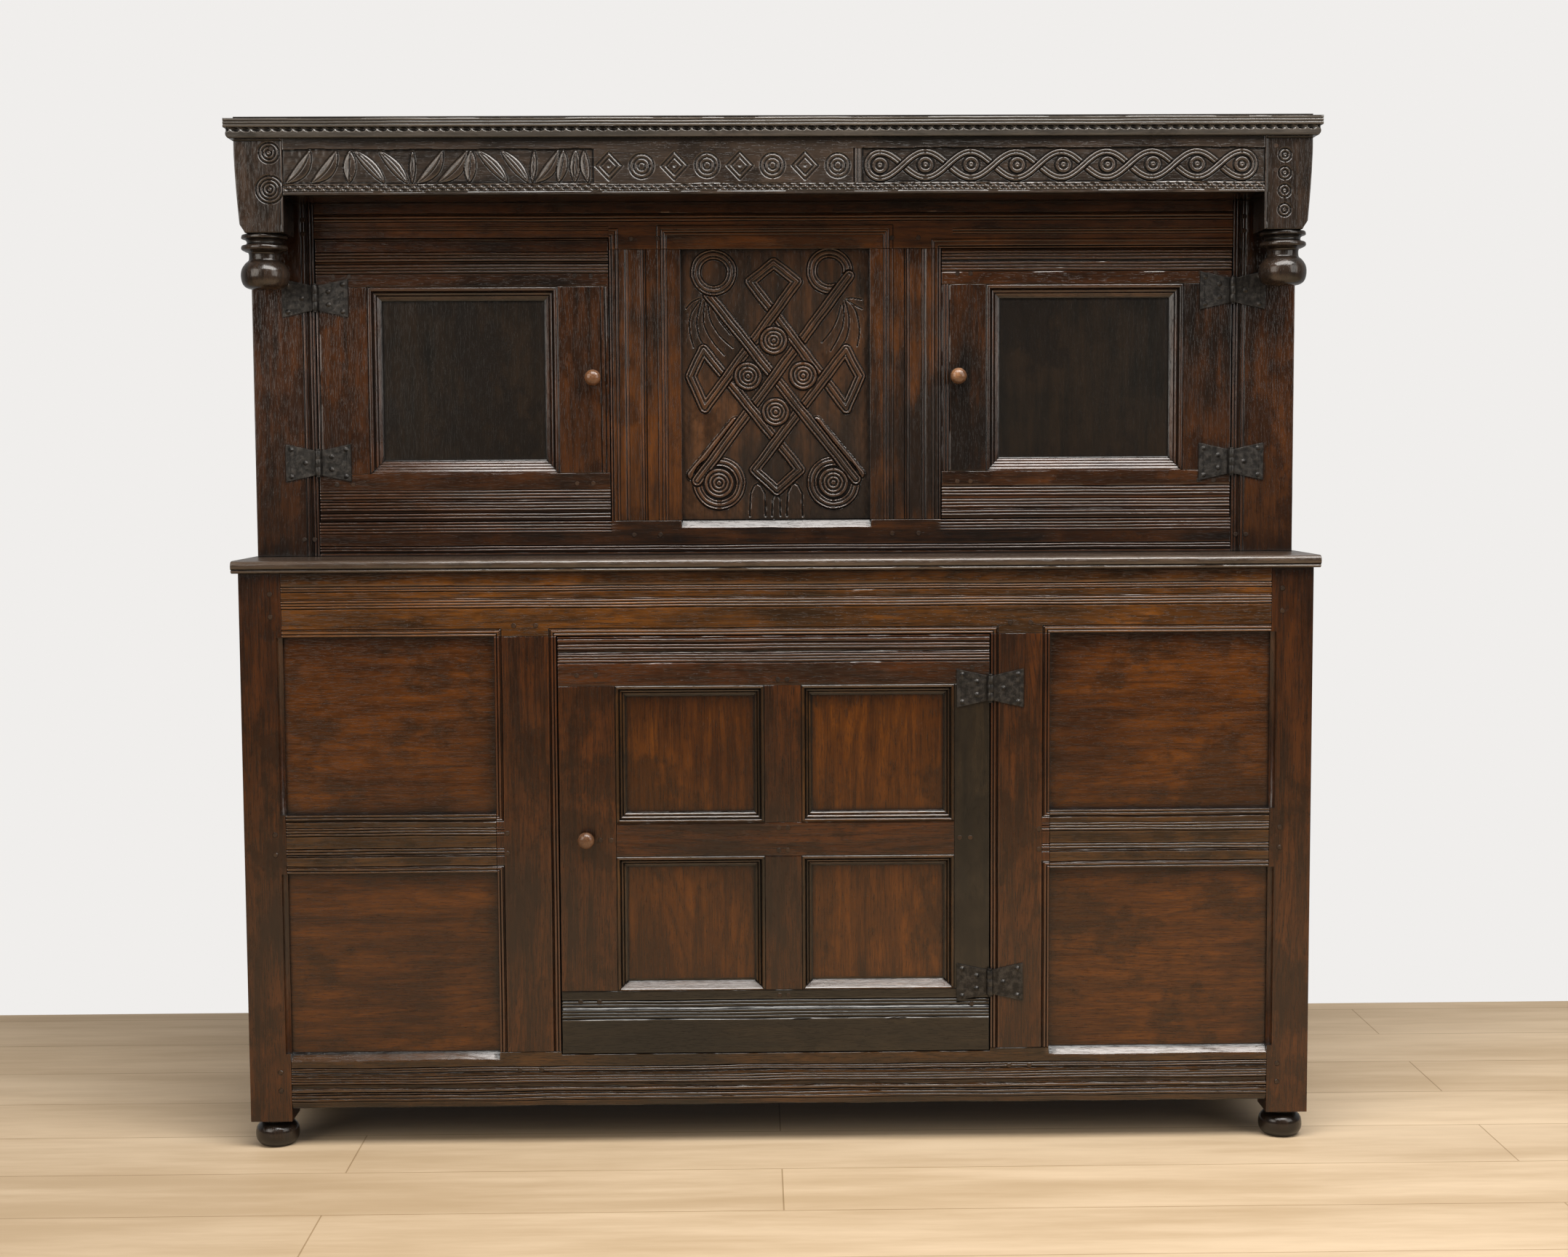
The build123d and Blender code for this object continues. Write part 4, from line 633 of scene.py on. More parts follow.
# Bright along the arris and dark in the quirk: partly polish from use, partly a painted highlight and painted shade.
ledge_wear_and_light = [0, 0.2, 0.7, 0.8, 0.2, -0.8, -1, 0.4, 0.5, 0.3, 0.5, 0.9, 0.9, 0.4, 0]
stations = marked(-859, 859, 9)
verts, wear_and_light = [], []
for x in stations:
    dent = 0.7 * max(0.0, float(waver(x, 260, 161))) ** 2 + 0.5 * max(0.0, float(waver(x, 47, 162))) ** 3
    nose = [(y + dent * abs(give), z - 0.6 * dent * abs(give)) for (y, z), give in zip(ledge_section, ledge_wear_and_light)]
    end = 0.8 if x in (stations[0], stations[-1]) else 0
    for y, z in [(BACK, UNDERSIDE), *nose, (BACK, TOP)]:
        verts.append((x * MM, y * MM, (z + (end if z < 930 else -end) * (y < BACK)) * MM))
    wear_and_light += [0, *ledge_wear_and_light, 0]
faces = tube(0, len(stations), len(ledge_section) + 2)
faces[-2] = faces[-2][::-1]  # the order of this end's corners shows in how it's shaded
made_piece("ledge_boards", verts, faces, oak("ledge_oak", "x"), "ledge", crease=40, wear_and_light=np.array(wear_and_light))

# ---- Upper stage: stiles, rails and muntins ----
# The same oak joinery, tenoned and pegged, set back behind the ledge and almost black
# with old varnish. The left door's opening is a little taller than the right one's.


def set_off(lines, at, way=1):
    """The same lines, counted from a place one way or the other."""
    return [(kind, at + way * start, at + way * end, deep) for kind, start, end, deep in lines]


STILE, MUNTIN, PANEL = 748, 270, 154  # how far from the middle each begins
SILL, LEFT_HEAD, HEAD = 1002, 1462, 1443
stile_lines = [("reed", 748, 753, 2.4), ("reed", 753, 757.5, 2.2), ("line", 759, 761.5, 1.6), ("reed", 763, 768, 1.8)]
stiles = [
    timber(
        f"upper_stile_{seed}", tuple(sorted((side * STILE, side * 850))), (946, 1519), UPPER_FRONT,
        set_off(stile_lines, 0, side), "upper_oak", run="z", wander=(0.4, seed), polish_and_highlight=0.5,
    )
    for side, seed in ((-1, 41), (1, 45))
]
joined("upper_stiles_moulded", stiles, "upper_stiles")

DOOR_EDGING = [("line", 2, 5, 1.8), ("reed", 10, 15, 2.2)]
PANEL_EDGING = [("slope", 19.1, 0, 2.6), *reeds(1.8, 22, 27, 32), ("step", 37.5, 39, 1.2)]


def upper_edges(x, z):
    """The mouldings round the two doors and round the carved panel."""
    left = edged(x, z, (-STILE, -MUNTIN, SILL, LEFT_HEAD), ("right", "head"), DOOR_EDGING)
    right = edged(x, z, (MUNTIN, STILE, SILL, HEAD), ("left", "head"), DOOR_EDGING)
    panel = edged(x, z, (-PANEL, PANEL, SILL, HEAD), ("left", "right", "head"), PANEL_EDGING)
    return np.maximum.reduce([left, right, panel])


def upper_sill(x, z):
    """Reeds below the two doors, and a plain sloping sill below the carved panel."""
    below_doors = [("reed", 1002, 997, 2.4), *reeds(2.2, 997, 992, 987, 982)]
    depth = np.where(np.abs(x) > MUNTIN, scratched(z, below_doors), 0)
    return depth + np.where(np.abs(x) < PANEL + 2, np.clip((z - 989.5) * 0.6 + 0.4 * waver(x, 120, 55), 0, 12), 0)


bay_ends = [(at - 0.5, at + 0.5, 1.0) for at in (-270, -155.5, 155.5, 270)]
timber(
    "upper_bottom_rail_moulded", (-STILE, STILE), (946, SILL), UPPER_FRONT,
    [*reeds(2.4, 961.5, 957.2, 953), ("line", 952.5, 949.5, 1.8)], "upper_oak", "upper_bottom_rail",
    close=(bay_ends, [(981, 1002, 0.6)]), cut=upper_sill, wander=(0.5, 51),
)


def head_cut(x, z):
    """More reeds over the right door, and the mouldings round the openings."""
    return np.maximum(upper_edges(x, z), np.where(x > 290, scratched(z, reeds(2.2, 1475, 1470.5, 1466)), 0))


def head_foot(x):
    """The rail is narrower over the left door, which is the taller one."""
    return np.where(x < -MUNTIN, 1462.0, 1443.0)


corners = [(-271, -254, 0.65), (254, 271, 0.65), (-194, -153, 0.8), (153, 194, 0.8), (289.5, 290.5, 1)]
timber(
    "head_rail_moulded", (-STILE, STILE), (HEAD, 1519), UPPER_FRONT,
    [("line", 1502, 1499, 1.7), *reeds(2.2, 1498, 1493, 1488)], "muntin_oak", "head_rail",
    close=(corners, [(1443, 1483, 0.7)]), cut=head_cut, wander=(0.4, 61), foot=head_foot,
)
wide_lines = [("reed", 26, 31, 1.7), ("hollow", 31, 51, 0.9), ("reed", 51, 55.5, 1.7), ("line", 58, 60.5, 1.4)]
uppers = [
    timber(
        f"upper_muntin_{seed}", tuple(sorted((side * PANEL, side * MUNTIN))), (SILL, HEAD), UPPER_FRONT,
        set_off(wide_lines, side * MUNTIN, -side), "muntin_oak", run="z", cut=upper_edges, wander=(0.3, seed),
        polish_and_highlight=0.5, close=([(*sorted((side * at, side * to)), 0.6) for at, to in ((154, 193), (254, 270))], ()),
    )
    for side, seed in ((-1, 71), (1, 75))
]
joined("upper_muntins_moulded", uppers, "upper_muntins")
kept("door_stops", oak("inner_oak", "x"))

# ---- Pegs ----
# Pegs riven and whittled from oak and driven through every joint. Their ends are cut
# off a little proud of the face.


def loose_parts(node):
    """The lowest and highest corner of each separate solid of a node, in millimetres."""
    shell = bmesh.new()
    shell.from_mesh(nodes[node].data)
    bmesh.ops.remove_doubles(shell, verts=shell.verts, dist=0.00001)
    waiting, parts = set(shell.verts), []
    while waiting:
        edge, part = [waiting.pop()], []
        while edge:
            vert = edge.pop()
            part.append(vert.co * 1000)
            for link in vert.link_edges:
                other = link.other_vert(vert)
                if other in waiting:
                    waiting.remove(other)
                    edge.append(other)
        parts.append((np.min(part, 0), np.max(part, 0)))
    shell.free()
    return sorted(parts, key=lambda part: tuple(np.round(part[0], 1)))


def pegs(name, node, body, proud=0.8):
    """Faceted peg ends at the places of the node's pegs, turned every way."""
    chance = np.random.default_rng(len(name))
    facets, verts, faces = 9, [], []
    for low, high in loose_parts(node):
        middle, reach = (low + high) / 2, (high - low) / 2
        sideways = reach[0] > reach[1]  # a peg of the sides lies along x
        long = 0 if sideways else 1
        outward = np.sign(middle[0]) if sideways else -1
        face = middle[long] + outward * reach[long]
        if not sideways and node != "frame_pegs":
            face -= proud
        turn = chance.uniform(0, 1)
        faces += tube(len(verts), 4, facets)
        for share, depth in ((0.98, -12.0), (1.0, -0.6), (0.86, 0.0), (0.5, 0.0)):
            for step in range(facets):
                angle = 2 * math.pi * step / facets + turn
                r = 4 * share * (1 + 0.05 * math.sin(3 * angle + 9 * turn))
                u, v = r * math.cos(angle), r * math.sin(angle)
                point = middle + ((0, u, v) if sideways else (u, 0, v))
                point[long] = face + outward * depth
                verts.append((point * MM).tolist())
    made_piece(name, verts, faces, oak("peg_oak", "y"), node, body, 30)


pegs("frame_peg_ends", "frame_pegs", "carcass")

# ---- Carved panel ----
# One oak board between the doors. Two long straps and an endless one cross over and
# under each other, cut with gouges out of a ground that keeps the marks of the tools.

STRAP, SUNK = 8.3, 3.6


def away(x, z, points):
    """How far each place is from a line through the points."""
    nearest = np.full(x.shape, 1e9)
    for (ax, az), (bx, bz) in zip(points, points[1:]):
        dx, dz = bx - ax, bz - az
        t = np.clip(((x - ax) * dx + (z - az) * dz) / (dx * dx + dz * dz), 0, 1)
        nearest = np.minimum(nearest, np.hypot(x - ax - t * dx, z - az - t * dz))
    return nearest


def groove(d, half, deep):
    """A V-shaped cut where d is the distance from its line."""
    return deep * np.clip(1 - d / half, 0, 1)


def laid(depth, d, half=STRAP, sunk=SUNK, lines=(0.5,), where=True, cut=(2.3, 2.5)):
    """A strap laid over the carving: incised lines, rounded edges, steep sides and a trench at its foot."""
    top = 1.7 * np.clip((d / half - 0.7) / 0.3, 0, 1) ** 1.3
    for share in lines:
        top = top + groove(np.abs(d - share * half), *cut)
    foot = sunk + 1.3 * (1 - (d - half) / 2.0)
    return np.where((d < half + 2.0) & where, np.where(d < half, top, foot), depth)


def roundel(depth, x, z, middle, radius, rings, sunk=SUNK):
    """Rings cut one inside the other, with a boss in the middle."""
    r = np.hypot(x - middle[0], z - middle[1])
    pitch = radius / (rings + 0.8)
    cut = 1.2 * np.clip(r - radius + 1.4, 0, 1.4)
    for ring in range(rings):
        cut = np.maximum(cut, groove(np.abs(r - pitch * (ring + 0.8)), 0.36 * pitch, 0.4 * pitch))
    depth = np.where(r < radius, cut, depth)
    return np.where((r >= radius) & (r < radius + 2), sunk + 1.2, depth)


def hatched(x, z, seed, deep=0.45):
    """The shallow facets that a gouge leaves on a ground."""
    turn = np.random.default_rng(seed).uniform(0, 6.28, 4)
    drift = 2.4 * np.sin(x / 17 + turn[0]) + 2.4 * np.sin(z / 23 + turn[1])
    facets = np.sin(x / 2.1 + drift) * np.sin(z / 4.3 + drift * 0.7 + turn[2])
    return deep * (facets + 0.5 * np.sin((x + z) / 6.1 + turn[3]))


corner_top, corner_right = (-2.5, 1421), (138.6, 1236)
corner_left, corner_foot = (-139.5, 1237), (1, 1050)
strap_a = [(-109, 1370), (131, 1068)]
strap_b = [(121, 1400), (-130, 1066)]
falling = [  # straps that run down to the right
    [corner_right, (115.7, 1184), (-40.5, 1391), corner_top], strap_a,
    [corner_left, (-118, 1281), (39.5, 1084), corner_foot],
]
rising = [  # and down to the left
    [corner_top, (35.5, 1391), (-116.5, 1186), corner_left], strap_b,
    [corner_right, (115.5, 1280), (-35, 1084), corner_foot],
]
loops = [((-100.5, 1406), 29.5), ((89, 1408), 29.5), ((-93.5, 1062.5), 35.5), ((94.5, 1062.5), 35.5)]
feathers = [
    [(-121, 1362), (-128, 1330), (-124, 1300), (-103, 1268)], [(-116, 1358), (-117, 1325), (-104, 1296), (-84, 1272)],
    [(-111, 1356), (-106, 1330), (-91, 1304), (-70, 1284)], [(-104, 1352), (-92, 1330), (-74, 1306)],
    [(-124, 1360), (-138, 1338), (-140, 1310), (-134, 1284)], [(-122, 1364), (-136, 1358), (-146, 1348)],
    [(114, 1361), (121, 1330), (118, 1304), (110, 1288)], [(111, 1356), (112, 1326), (103, 1300), (90, 1278)],
    [(107, 1352), (100, 1326), (88, 1306), (76, 1292)], [(118, 1362), (132, 1342), (138, 1312), (134, 1286)],
    [(116, 1363), (128, 1364), (142, 1361)], [(117, 1361), (128, 1354), (142, 1346)],
]


def crossing(first, second):
    """Where two straight runs meet."""
    (start, end), (other, other_end) = np.array(first), np.array(second)
    share = np.linalg.solve(np.array([end - start, other - other_end]).T, other - start)[0]
    return start + share * (end - start)


def panel_carving(x, z):
    """Depth of the carving below the tops of the straps."""
    x = x + 0.5 * waver(z, 60, 91)
    z = z + 0.5 * waver(x, 70, 92)
    depth = SUNK + hatched(x, z, 7, 0.25)
    petals = np.minimum.reduce([away(x, z, smooth_line(feather, 9)) for feather in feathers])
    depth = depth - 0.9 * np.exp(-((petals / 7) ** 2)) + groove(petals, 1.8, 2.2)
    for side in (-1, 1):  # the broad blades outside the lower straps, and the two arches
        blade = away(x, z, [(side * 137, 1076), (side * 66, 1162)])
        depth = laid(depth, blade, 8.5, 2.6, ())
        from_arch = x - side * 30.5
        arch = away(from_arch, z, [(-13, 1008), (-12, 1046), (-6, 1058), (0, 1062), (6, 1058), (12, 1046), (13, 1008)])
        depth = depth - 0.9 * np.exp(-(np.hypot(from_arch / 11, (z - 1026) / 34) ** 4)) + groove(arch, 2.0, 2.2)
    depth = depth + groove(away(x, z, [(-7, 1008), (-6, 1036), (0, 1048), (6, 1036), (7, 1008)]), 2.0, 1.8)
    first_ring, *rings = [np.abs(np.hypot(x - mx, z - mz) - radius) for (mx, mz), radius in loops]
    for ring in rings:
        depth = laid(depth, ring, 7.6)
    for line in falling + rising:
        depth = laid(depth, away(x, z, line))
    for number, line in enumerate(falling):
        for other in rising[1 - number % 2::2]:  # over and under by turns
            cx, cz = crossing(line[1:3] if len(line) == 4 else line, other[1:3] if len(other) == 4 else other)
            depth = laid(depth, away(x, z, line), where=np.hypot(x - cx, z - cz) < 15.5)
    endless = [*falling[0][::-1], *rising[2][1:], *falling[2][::-1][1:], *rising[0][::-1][1:]]
    endless = away(x, z, endless)
    for cx, cz in (corner_top, corner_right, corner_left, corner_foot):
        depth = laid(depth, endless, where=np.hypot(x - cx, z - cz) < 16)
    depth = laid(depth, first_ring, 7.6)
    for middle in ((-3, 1295), (-45.5, 1237), (45, 1238), (-0.5, 1178.5)):
        depth = roundel(depth, x, z, middle, 22.5, 3)
    for side in (-1, 1):
        depth = roundel(depth, x, z, (side * 94, 1062.5), 24, 3)
    return depth


timber(
    "carved_panel_strapwork", (-159, 159), (1003, 1447), UPPER_FRONT + 8.8, [], "carved_oak", "carved_panel", run="z",
    thick=11, step=(0.8, 0.8), cut=panel_carving, wander=(0, 1), worn_round=0.3, polish_and_highlight=0.8,
)

# ---- Frieze ----
# The rail below the cornice, carved with leaning leaves, a row of lozenges and rings, and
# a twisted band round nine roundels. It is held between the tops of the corner posts.

leaves = [  # foot, tip, half width, bow and ribs
    (-769, -731, 10, -7, 1), (-729, -689, 10, -7, 1), (-670, -668, 9.5, 0, 1), (-614, -661, 8.5, -2, 2),
    (-578, -622, 8.5, -2, 2), (-571.5, -570, 4.5, 0, 1), (-564, -523, 9.5, -7, 1), (-531, -484, 9.5, -7, 1),
    (-482, -478, 9, 0, 1), (-421, -468, 8.5, -2, 2), (-388, -431, 8.5, -2, 2), (-382.5, -379, 4.5, 0, 1),
    (-378, -341, 9, -6, 1), (-342, -333, 8, -2, 1), (-316, -314, 8, 0, 2), (-295, -301, 7, 2, 1),
]
roundels = (165, 237, 309, 382, 455, 525, 597, 667, 738)


def gouged(x, z, row, pitch, length, tall, deep, shift=0.0):
    """A row of short gouge cuts, as on a rope."""
    along = (x + shift) / pitch
    here = (along - np.floor(along) - 0.5) * pitch
    return deep * np.clip(1.15 - (2 * here / length) ** 2 - ((z - row + 0.12 * here) * 2 / tall) ** 2, 0, 1)


BAND, ROW = (1536.5, 1590), 1563  # the carved field and the middle of its rows
TWIST, HALF_TURN, SWING = (165, 738), 71.6, 20.0


def leaf(depth, x, z, foot, tip, half, bow, ribs):
    """A leaning leaf with one or two ribs, standing up from the ground."""
    dx, dz = tip - foot, 50.0
    length = math.hypot(dx, dz)
    u = ((x - foot) * dx + (z - 1537.5) * dz) / length**2
    v = ((x - foot) * dz - (z - 1537.5) * dx) / length
    inside = np.clip(u, 0, 1)
    v = v + bow * 4 * inside * (1 - inside)
    width = half * np.sin(math.pi * inside) ** 0.7
    crown = 0.2 + 1.9 * (v / np.maximum(width, 0.1)) ** 2
    for rib in ((0,) if ribs == 1 else (-0.34, 0.34)):
        crown = crown + groove(np.abs(v - rib * width), 1.35, 1.7)
    near = np.abs(v) - width
    here = (u > 0) & (u < 1)
    depth = np.where((near < 0) & here, crown, depth)
    return np.where((near >= 0) & (near < 1.3) & here & (depth > 1.5), 3.7, depth)


def frieze_carving(x, z):
    """Depth of the carving below the face of the frieze."""
    z = z + 0.7 * waver(x, 330, 101)
    band = (z > BAND[0]) & (z < BAND[1] + 0.8 * waver(x, 140, 103))
    plain = (np.abs(x + 81) < 204) | ((x > 124) & (x < 136))
    depth = np.where(band & ~plain, 3.0 + hatched(x, z, 9, 0.16), 0)
    for one in leaves:
        depth = leaf(depth, x, z, *one)
    for number in range(8):  # a generic filling: lozenges and rings by turns
        middle = -262 + 51.5 * number
        r = np.hypot(x - middle, z - ROW)
        if number % 2:
            for ring in (19, 12.5, 6):
                depth = depth + groove(np.abs(r - ring), 2.1, 2.2)
        else:
            for size in (1.0, 0.62):
                wide, tall = 21 * size, 22 * size
                lozenge = [(-wide, 0), (0, tall), (wide, 0), (0, -tall), (-wide, 0)]
                depth = depth + groove(away(x - middle, z - ROW, lozenge), 2.1, 2.2)
            depth = depth + groove(r, 3.0, 2.0)
    for line in (125.5, 130, 134.5):
        depth = depth + np.where(band, groove(np.abs(x - line), 1.2, 1.4), 0)
    twist = (np.clip(x, *TWIST) - TWIST[0]) * math.pi / HALF_TURN
    rise, slant = SWING * np.cos(twist), np.hypot(1, SWING * math.pi / HALF_TURN * np.abs(np.sin(twist)))
    upper, lower = np.abs(z - ROW - rise) / slant, np.abs(z - ROW + rise) / slant
    run = (x >= TWIST[0]) & (x <= TWIST[1])
    first_over = np.floor(twist / math.pi) % 2 == 0
    ends = np.minimum.reduce([np.abs(np.hypot(x - end, z - ROW) - SWING) for end in TWIST])
    past = (x < TWIST[0]) & (x > 136) | (x > TWIST[1]) & (x < 766)
    crossed = run & first_over & (np.abs(z - ROW) < 12)
    for strand, where in ((ends, past), (lower, run), (upper, run), (lower, crossed)):
        depth = laid(depth, strand, 4.8, 3.0, (0.0,), where, (1.4, 1.7))
    for middle in roundels:
        depth = roundel(depth, x, z, (middle, ROW), 12.6, 1, 3.0)
        depth = depth + groove(np.hypot(x - middle, z - ROW), 1.8, 1.6)
    rope = gouged(x, z, 1532.4, 15, 12.5, 3.8, 2.2) + gouged(x, z, 1527.4, 15, 12.5, 3.8, 2.2, 7.5)
    return depth + rope + groove(np.abs(z - 1535.6), 0.9, 1.0) + groove(np.abs(z - 1524), 1.0, 1.2)


timber(
    "frieze_rail_carved", (-774, 774), (1519, 1625), FRIEZE_FRONT, [], "frieze_oak_lit", "frieze_rail",
    thick=30, step=(1.0, 0.8), cut=frieze_carving, wander=(0, 1), worn_round=0.9, polish_and_highlight=1.3,
)


def corner_post(side):
    """A post of the frieze, narrowing to the pendant below it, with rings cut in its face."""
    inner, width, foot, head = 774, 76, 1461, 1625
    xs, zs = marked(inner, inner + width, 0.9), marked(foot, head, 0.9)
    x, z = np.meshgrid(xs, zs, indexing="ij")
    narrowed = width - 7.5 * np.clip((1590 - z) / 125, 0, 1) ** 1.5 - 0.55 * np.clip(1474 - z, 0, 13)
    x = inner + (x - inner) * narrowed / width
    depth = hatched(x, z, 12, 0.05)
    spots = [(795, 1585, 17, 3), (795, 1528, 22.5, 4)]
    if side > 0:
        spots = [(806, height, 11, 2) for height in (1577, 1549, 1521, 1491)]
    for middle_x, middle_z, radius, rings in spots:
        r = np.hypot(x - middle_x, z - middle_z)
        for ring in range(rings):
            depth = depth + groove(np.abs(r - radius * (ring + 0.8) / rings), 1.9, 2.4)
        depth = depth + groove(r, 1.8, 1.3)
    depth = depth + groove(np.abs(x - 778), 1.2, 1.0) + groove(np.abs(z - 1604), 1.2, 1.0)
    from_edge = np.minimum.reduce([x - inner, inner + narrowed - x, z - foot, head - z])
    depth = depth + rounding(from_edge, 1.2)
    wear_and_light = wear_and_light_field(depth, xs, zs, 0)
    return relief(f"corner_post_{side}", side * x, z, FRIEZE_FRONT, depth, width, wear_and_light, oak("frieze_oak", "z"))


joined("corner_posts_carved", [corner_post(-1), corner_post(1)], "frieze_posts")
kept("soffit_board", oak("upper_oak", "x"))

# ---- Cornice and top boards ----
# A small cornice nailed round the frieze: reeds over a row of gouge cuts over a cove,
# mitred at the corners, with rough boards laid over the whole top.


def cornice_cut(x, z):
    """Depth of the cornice's mouldings behind its front."""
    cove = 3.9 + 2.4 * (1 - np.sqrt(np.clip((z - 1607) / 9.9, 0, 1)))
    depth = np.where(z < 1616.9, cove, np.where(z < 1622.9, 3.9, 0.0))
    depth = depth + scratched(z + 0.3 * waver(x, 300, 121), reeds(1.7, 1637, 1632.4, 1627.8, 1623.2))
    return depth + gouged(x, z, 1619.6, 16.5, 14.0, 6.6, 4.0)


PROUD, FRIEZE_HALF = 13, 850
xs, zs = marked(-FRIEZE_HALF - PROUD, FRIEZE_HALF + PROUD, 1.5), marked(1607, 1637, 0.55)
x, z = np.meshgrid(xs, zs, indexing="ij")
cut = cornice_cut(x, z)
depth = cut + 0.5 * np.clip(0.8 - (1637 - z), 0, 1)
x = x * (FRIEZE_HALF + PROUD - depth) / (FRIEZE_HALF + PROUD)  # a true mitre at both ends
# Its reeds are made lighter where they face up: a painted sheen.
relief(
    "front_cornice_gouged", x, z, FRIEZE_FRONT - PROUD, depth, PROUD, wear_and_light_field(cut, xs, zs, 1.2), oak("cornice_oak_sheen", "x"),
    "front_cornice",
)
kept("side_cornices", oak("cornice_oak_sheen", "y"))
kept("top_boards", oak("dusty_oak", "y"))

# ---- Pendants ----
# Turned oak drops below the corner posts of the frieze, each with two rings, a neck and
# a squat ball, and a dowel up into its post.
pendant_profile = smooth_line(
    [(12, 1374.5), (26, 1376), (34.5, 1382), (37.8, 1394), (36.5, 1406), (31, 1415), (26.5, 1419), (25, 1421.5),
     (24.5, 1427), (25.5, 1432), (30, 1434), (35.5, 1437), (36.5, 1440), (35, 1443.5), (29, 1445.5), (27.5, 1449),
     (30, 1452.5), (35.5, 1454.5), (36, 1457), (35, 1460), (33, 1460.8)], 4,
)
turned("turned_pendants", pair_of("pendants", 38), pendant_profile, oak("frieze_oak", "z"), "pendants")

# ---- Doors ----
# Framed and panelled like the case in thinner oak, with mitred strips of moulding
# nailed round each panel. Each door hangs on two butterfly hinges.


def reed_band(top, count, deep=2.3):
    """Reeds 5 mm wide side by side, from a line down or to the left of it."""
    return reeds(deep, *(top - 5 * n for n in range(count + 1)))


def door_timbers(door, face, stiles, rails, muntins, tone):
    """The stiles, rails and muntins of a door. Each has its x and z spans, its lines, a seed and,
    where it has one, a tone of its own."""
    for kind, timbers, run in (("stiles", stiles, "z"), ("rails", rails, "x"), ("muntins", muntins, "z")):
        made = [
            timber(
                f"{door}_{kind}_{seed}", x, z, face, lines, (*own, tone)[0], None, door, run, thick=26,
                wander=(0.5, seed),
            )
            for x, z, lines, seed, *own in timbers
        ]
        if made:
            joined(f"{door}_{kind}_moulded", made, f"{door}_{kind}")


def strip_depth(side, u, width, lines, raised):
    """Depth across a strip of moulding, where u counts from the frame to the panel."""
    if side != "foot":
        bead = 1 - np.clip((u - width * 0.15) / (width * 0.15), -1, 1) ** 2
        hollow = np.clip((u - width * 0.3) / (width * 0.7), 0, 1)
        return scratched(u, lines) - 1.6 * bead * (u < width * 0.3) + 9.5 * hollow**0.8
    if not lines:
        return np.clip(u - 1.5, 0, 12) * 1.05
    if raised:
        return scratched(u, lines) + 8.0 * (np.clip(u, 0, width) / width) ** 1.2 - 1.2 * (u < width * 0.3)
    return 0.3 * scratched(u, lines) + 0.5 * np.clip(u - 1, 0, width)


def strips(door, face, openings, width, tone):
    """Strips of moulding round the inside of each panel opening, mitred at the corners. Each opening
    has its x and z spans and the lines of its foot strip; a plain foot is a sloping sill."""
    made = []
    head_lines = [("line", width * 0.3, width * 0.3 + 1.6, 1.6), ("reed", width * 0.42, width * 0.66, 1.6)]
    for x, z, foot_lines in openings:
        for side in ("foot", "head", "left", "right"):
            lines = foot_lines if side == "foot" else head_lines
            stations, inward = np.linspace(0, 1, 26), marked(0, width, 1.2, lines)
            share, u = np.meshgrid(stations, inward, indexing="ij")
            depth = strip_depth(side, u, width, lines, face == FRONT)
            depth = depth + 0.3 * np.clip(0.8 - 300 * np.minimum(share, 1 - share), 0, 1)
            fall = np.gradient(depth, inward, axis=1)
            if side in ("foot", "head"):
                across_x = x[0] + u + share * (x[1] - x[0] - 2 * u)
                up_z = z[0] + u if side == "foot" else z[1] - u
                # The face of each strip that looks up gets the painted highlight.
                wear_and_light = wear_and_light_field(depth, stations, inward, slope=fall if side == "foot" else -fall)
                grain = "x"
            else:
                across_x = x[0] + u if side == "left" else x[1] - u
                up_z = z[0] + u + share * (z[1] - z[0] - 2 * u)
                wear_and_light = wear_and_light_field(depth, stations, inward, 0)
                wear_and_light = np.where(wear_and_light > 0, 0.2 * wear_and_light, wear_and_light)
                grain = "z"
            name = f"{door}_strip_{len(made)}"
            made.append(relief(name, across_x, up_z, face, depth, 13, wear_and_light, oak(tone, grain), None, door))
    joined(f"{door}_strips", made, f"{door}_moulding")


door_timbers(
    "upper_left_door", UPPER_FRONT,
    [((-746.5, -663.5), (1080.5, 1383.5), [("line", -744, -741, 1.4)], 131),
     ((-354.5, -271.5), (1080.5, 1383.5), [("line", -279, -276, 1.4), ("line", -286, -283.5, 1.2)], 132)],
    [((-746.5, -271.5), (1003.5, 1080.5), reed_band(1053.5, 3) + reed_band(1034, 3) + reed_band(1015.5, 2), 133),
     ((-746.5, -271.5), (1383.5, 1460.5),
      reed_band(1439.5, 3) + reed_band(1420, 3) + [("line", 1459, 1456.5, 1.2)], 134)],
    [], "upper_oak",
)
door_timbers(
    "upper_right_door", UPPER_FRONT,
    [((271.5, 344.5), (1080.5, 1384.5), reed_band(283.5, 2, 2.0), 141),
     ((667.5, 746.5), (1080.5, 1384.5), [], 142)],
    [((271.5, 746.5), (1003.5, 1080.5), reed_band(1054.5, 3) + reed_band(1035, 3) + reed_band(1016.5, 2), 143),
     ((271.5, 746.5), (1384.5, 1441.5), reed_band(1439.5, 3) + reed_band(1421.5, 3), 144)],
    [], "upper_oak",
)
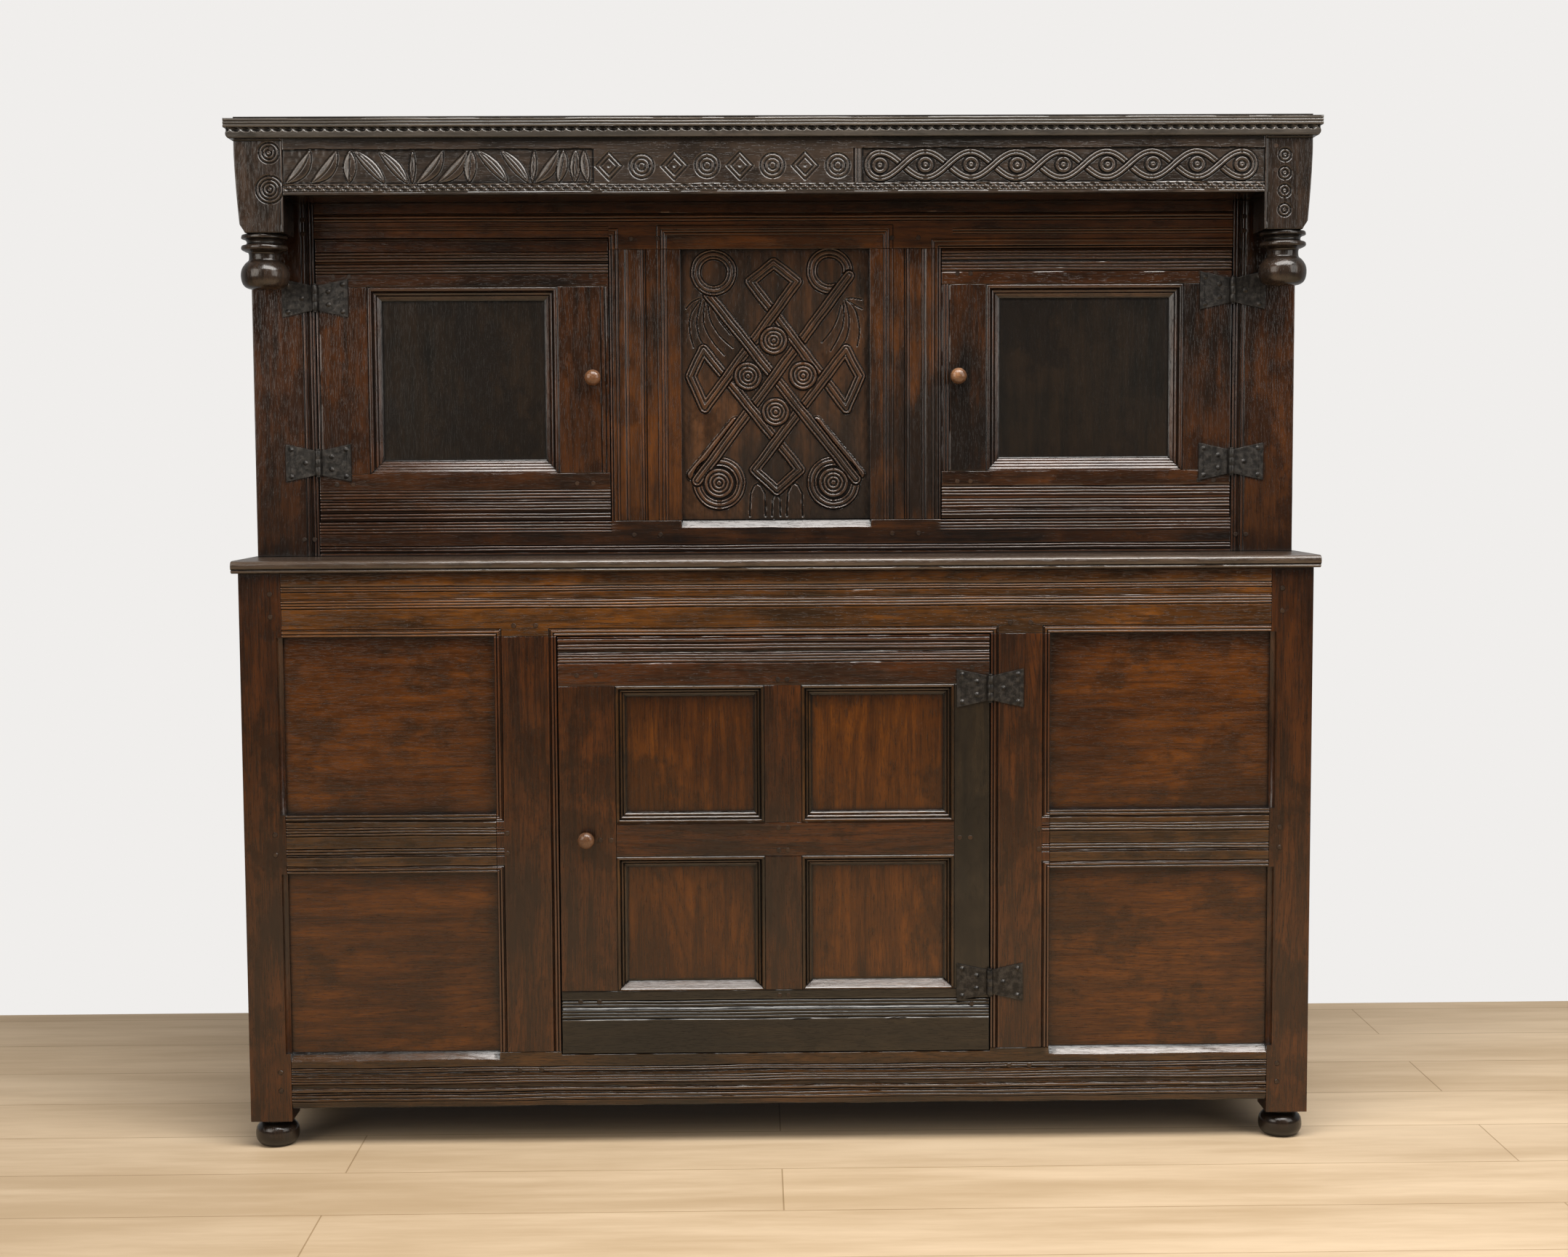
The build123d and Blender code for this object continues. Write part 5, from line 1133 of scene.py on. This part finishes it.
door_timbers(
    "lower_door", FRONT,
    [((-349.5, -259.5), (253, 744), [], 151), ((279.5, 335.5), (253, 744), [], 152, "stained_oak")],
    [((-349.5, 335.5), (151.5, 253), reed_band(236.5, 2) + reed_band(222.5, 3), 153, "stained_oak"),
     ((-259.5, 279.5), (470, 524), [], 154),
     ((-349.5, 335.5), (744, 822.5),
      [("reed", 819.5, 812.5, 2.6), *reeds(2.3, 810.5, 806, 801.5), ("hollow", 800.5, 795.5, 2.0),
       *reeds(2.3, 794.5, 790, 785.5, 781)], 155)],
    [((-23, 36), (253, 470), [], 156), ((-23, 36), (524, 744), [], 157)], "lower_oak",
)
fine_foot, broad_foot = reeds(2.0, 2.2, 7, 11.5, 16, 20.5), reeds(2.2, 0.8, 6, 11.2, 16.4)
strips("upper_left_door", UPPER_FRONT, [((-663.5, -354.5), (1080.5, 1383.5), fine_foot)], 22, "upper_oak")
strips("upper_right_door", UPPER_FRONT, [((344.5, 667.5), (1080.5, 1384.5), fine_foot)], 22, "upper_oak")
pans = [(x, z, foot) for z, foot in (((253, 470), []), ((524, 744), broad_foot)) for x in ((-259.5, -23), (36, 279.5))]
strips("lower_door", FRONT, pans, 17, "worn_oak")
for door, panel, tone in (
    ("upper_left_door", "panel", "dark_panel"), ("upper_right_door", "panel", "dark_panel"),
    ("lower_door", "panels", "panel_oak"),
):
    kept(f"{door}_{panel}", oak(tone, "z"), 0.5)
    pegs(f"{door}_peg_ends", f"{door}_pegs", door, 0.5)
    kept(f"{door}_catch", oak("inner_oak", "x"))

# ---- Knobs ----
# Small knobs turned from a paler, reddish wood, on spindles that go through the doors
# to the wooden catches behind them.
knob_profile = smooth_line(
    [(6.5, 3), (8.6, 0), (9, -1.6), (8.4, -3.2), (6.6, -4.6), (6.0, -7), (6.8, -9.5), (10.4, -12), (12.9, -16),
     (13.4, -20), (12.2, -24.4), (9.0, -27.6), (4.6, -29.4), (0.4, -29.9)], 4,
)
for door, x, face, z in (
    ("upper_left", -297.5, UPPER_FRONT, 1235), ("upper_right", 297.5, UPPER_FRONT, 1235), ("lower", -306.5, FRONT, 500)
):
    turned(
        f"{door}_turned_knob", [(x, face, z)], knob_profile, oak("knob_wood", "y"), f"{door}_door_knob",
        f"{door}_catch", "y", 40,
    )

# ---- Ironwork ----
# Butterfly hinges beaten from sheet iron and blacked, one leaf on the door and one on
# the frame, held by hand-made nails with rose heads.
black_iron, brush = fresh_material("black_iron")
iron_place = brush.node("TexCoord", out=3)
beaten, pitted = noise(iron_place, 120.0), noise(iron_place, 900.0, 3.0, 0.7)
iron_colour = blended(between(pitted + (beaten - 0.5), 0.35, 0.75), colour(36, 35, 34), colour(70, 67, 64))
iron_colour = blended((1 - between(open_air(brush, 0.006, 6), 0.3, 0.9)) * 0.7, iron_colour, colour(24, 19, 16))
hammered = beaten * 1.4 + pitted * 0.3
surface(brush, {
    "Base Color": iron_colour,
    "Metallic": 0.6,
    "Roughness": 0.36 + (pitted - 0.5) * 0.5,
    "Normal": brush.node("Bump", sockets={"Strength": 0.6, "Distance": 0.0009, "Height": hammered}),
})
kept("frame_leaves hinge_pins frame_nails", black_iron, 0.3)
for door in ("upper_left_door", "upper_right_door", "lower_door"):
    kept(f"{door}_leaves {door}_nails", black_iron, 0.3)
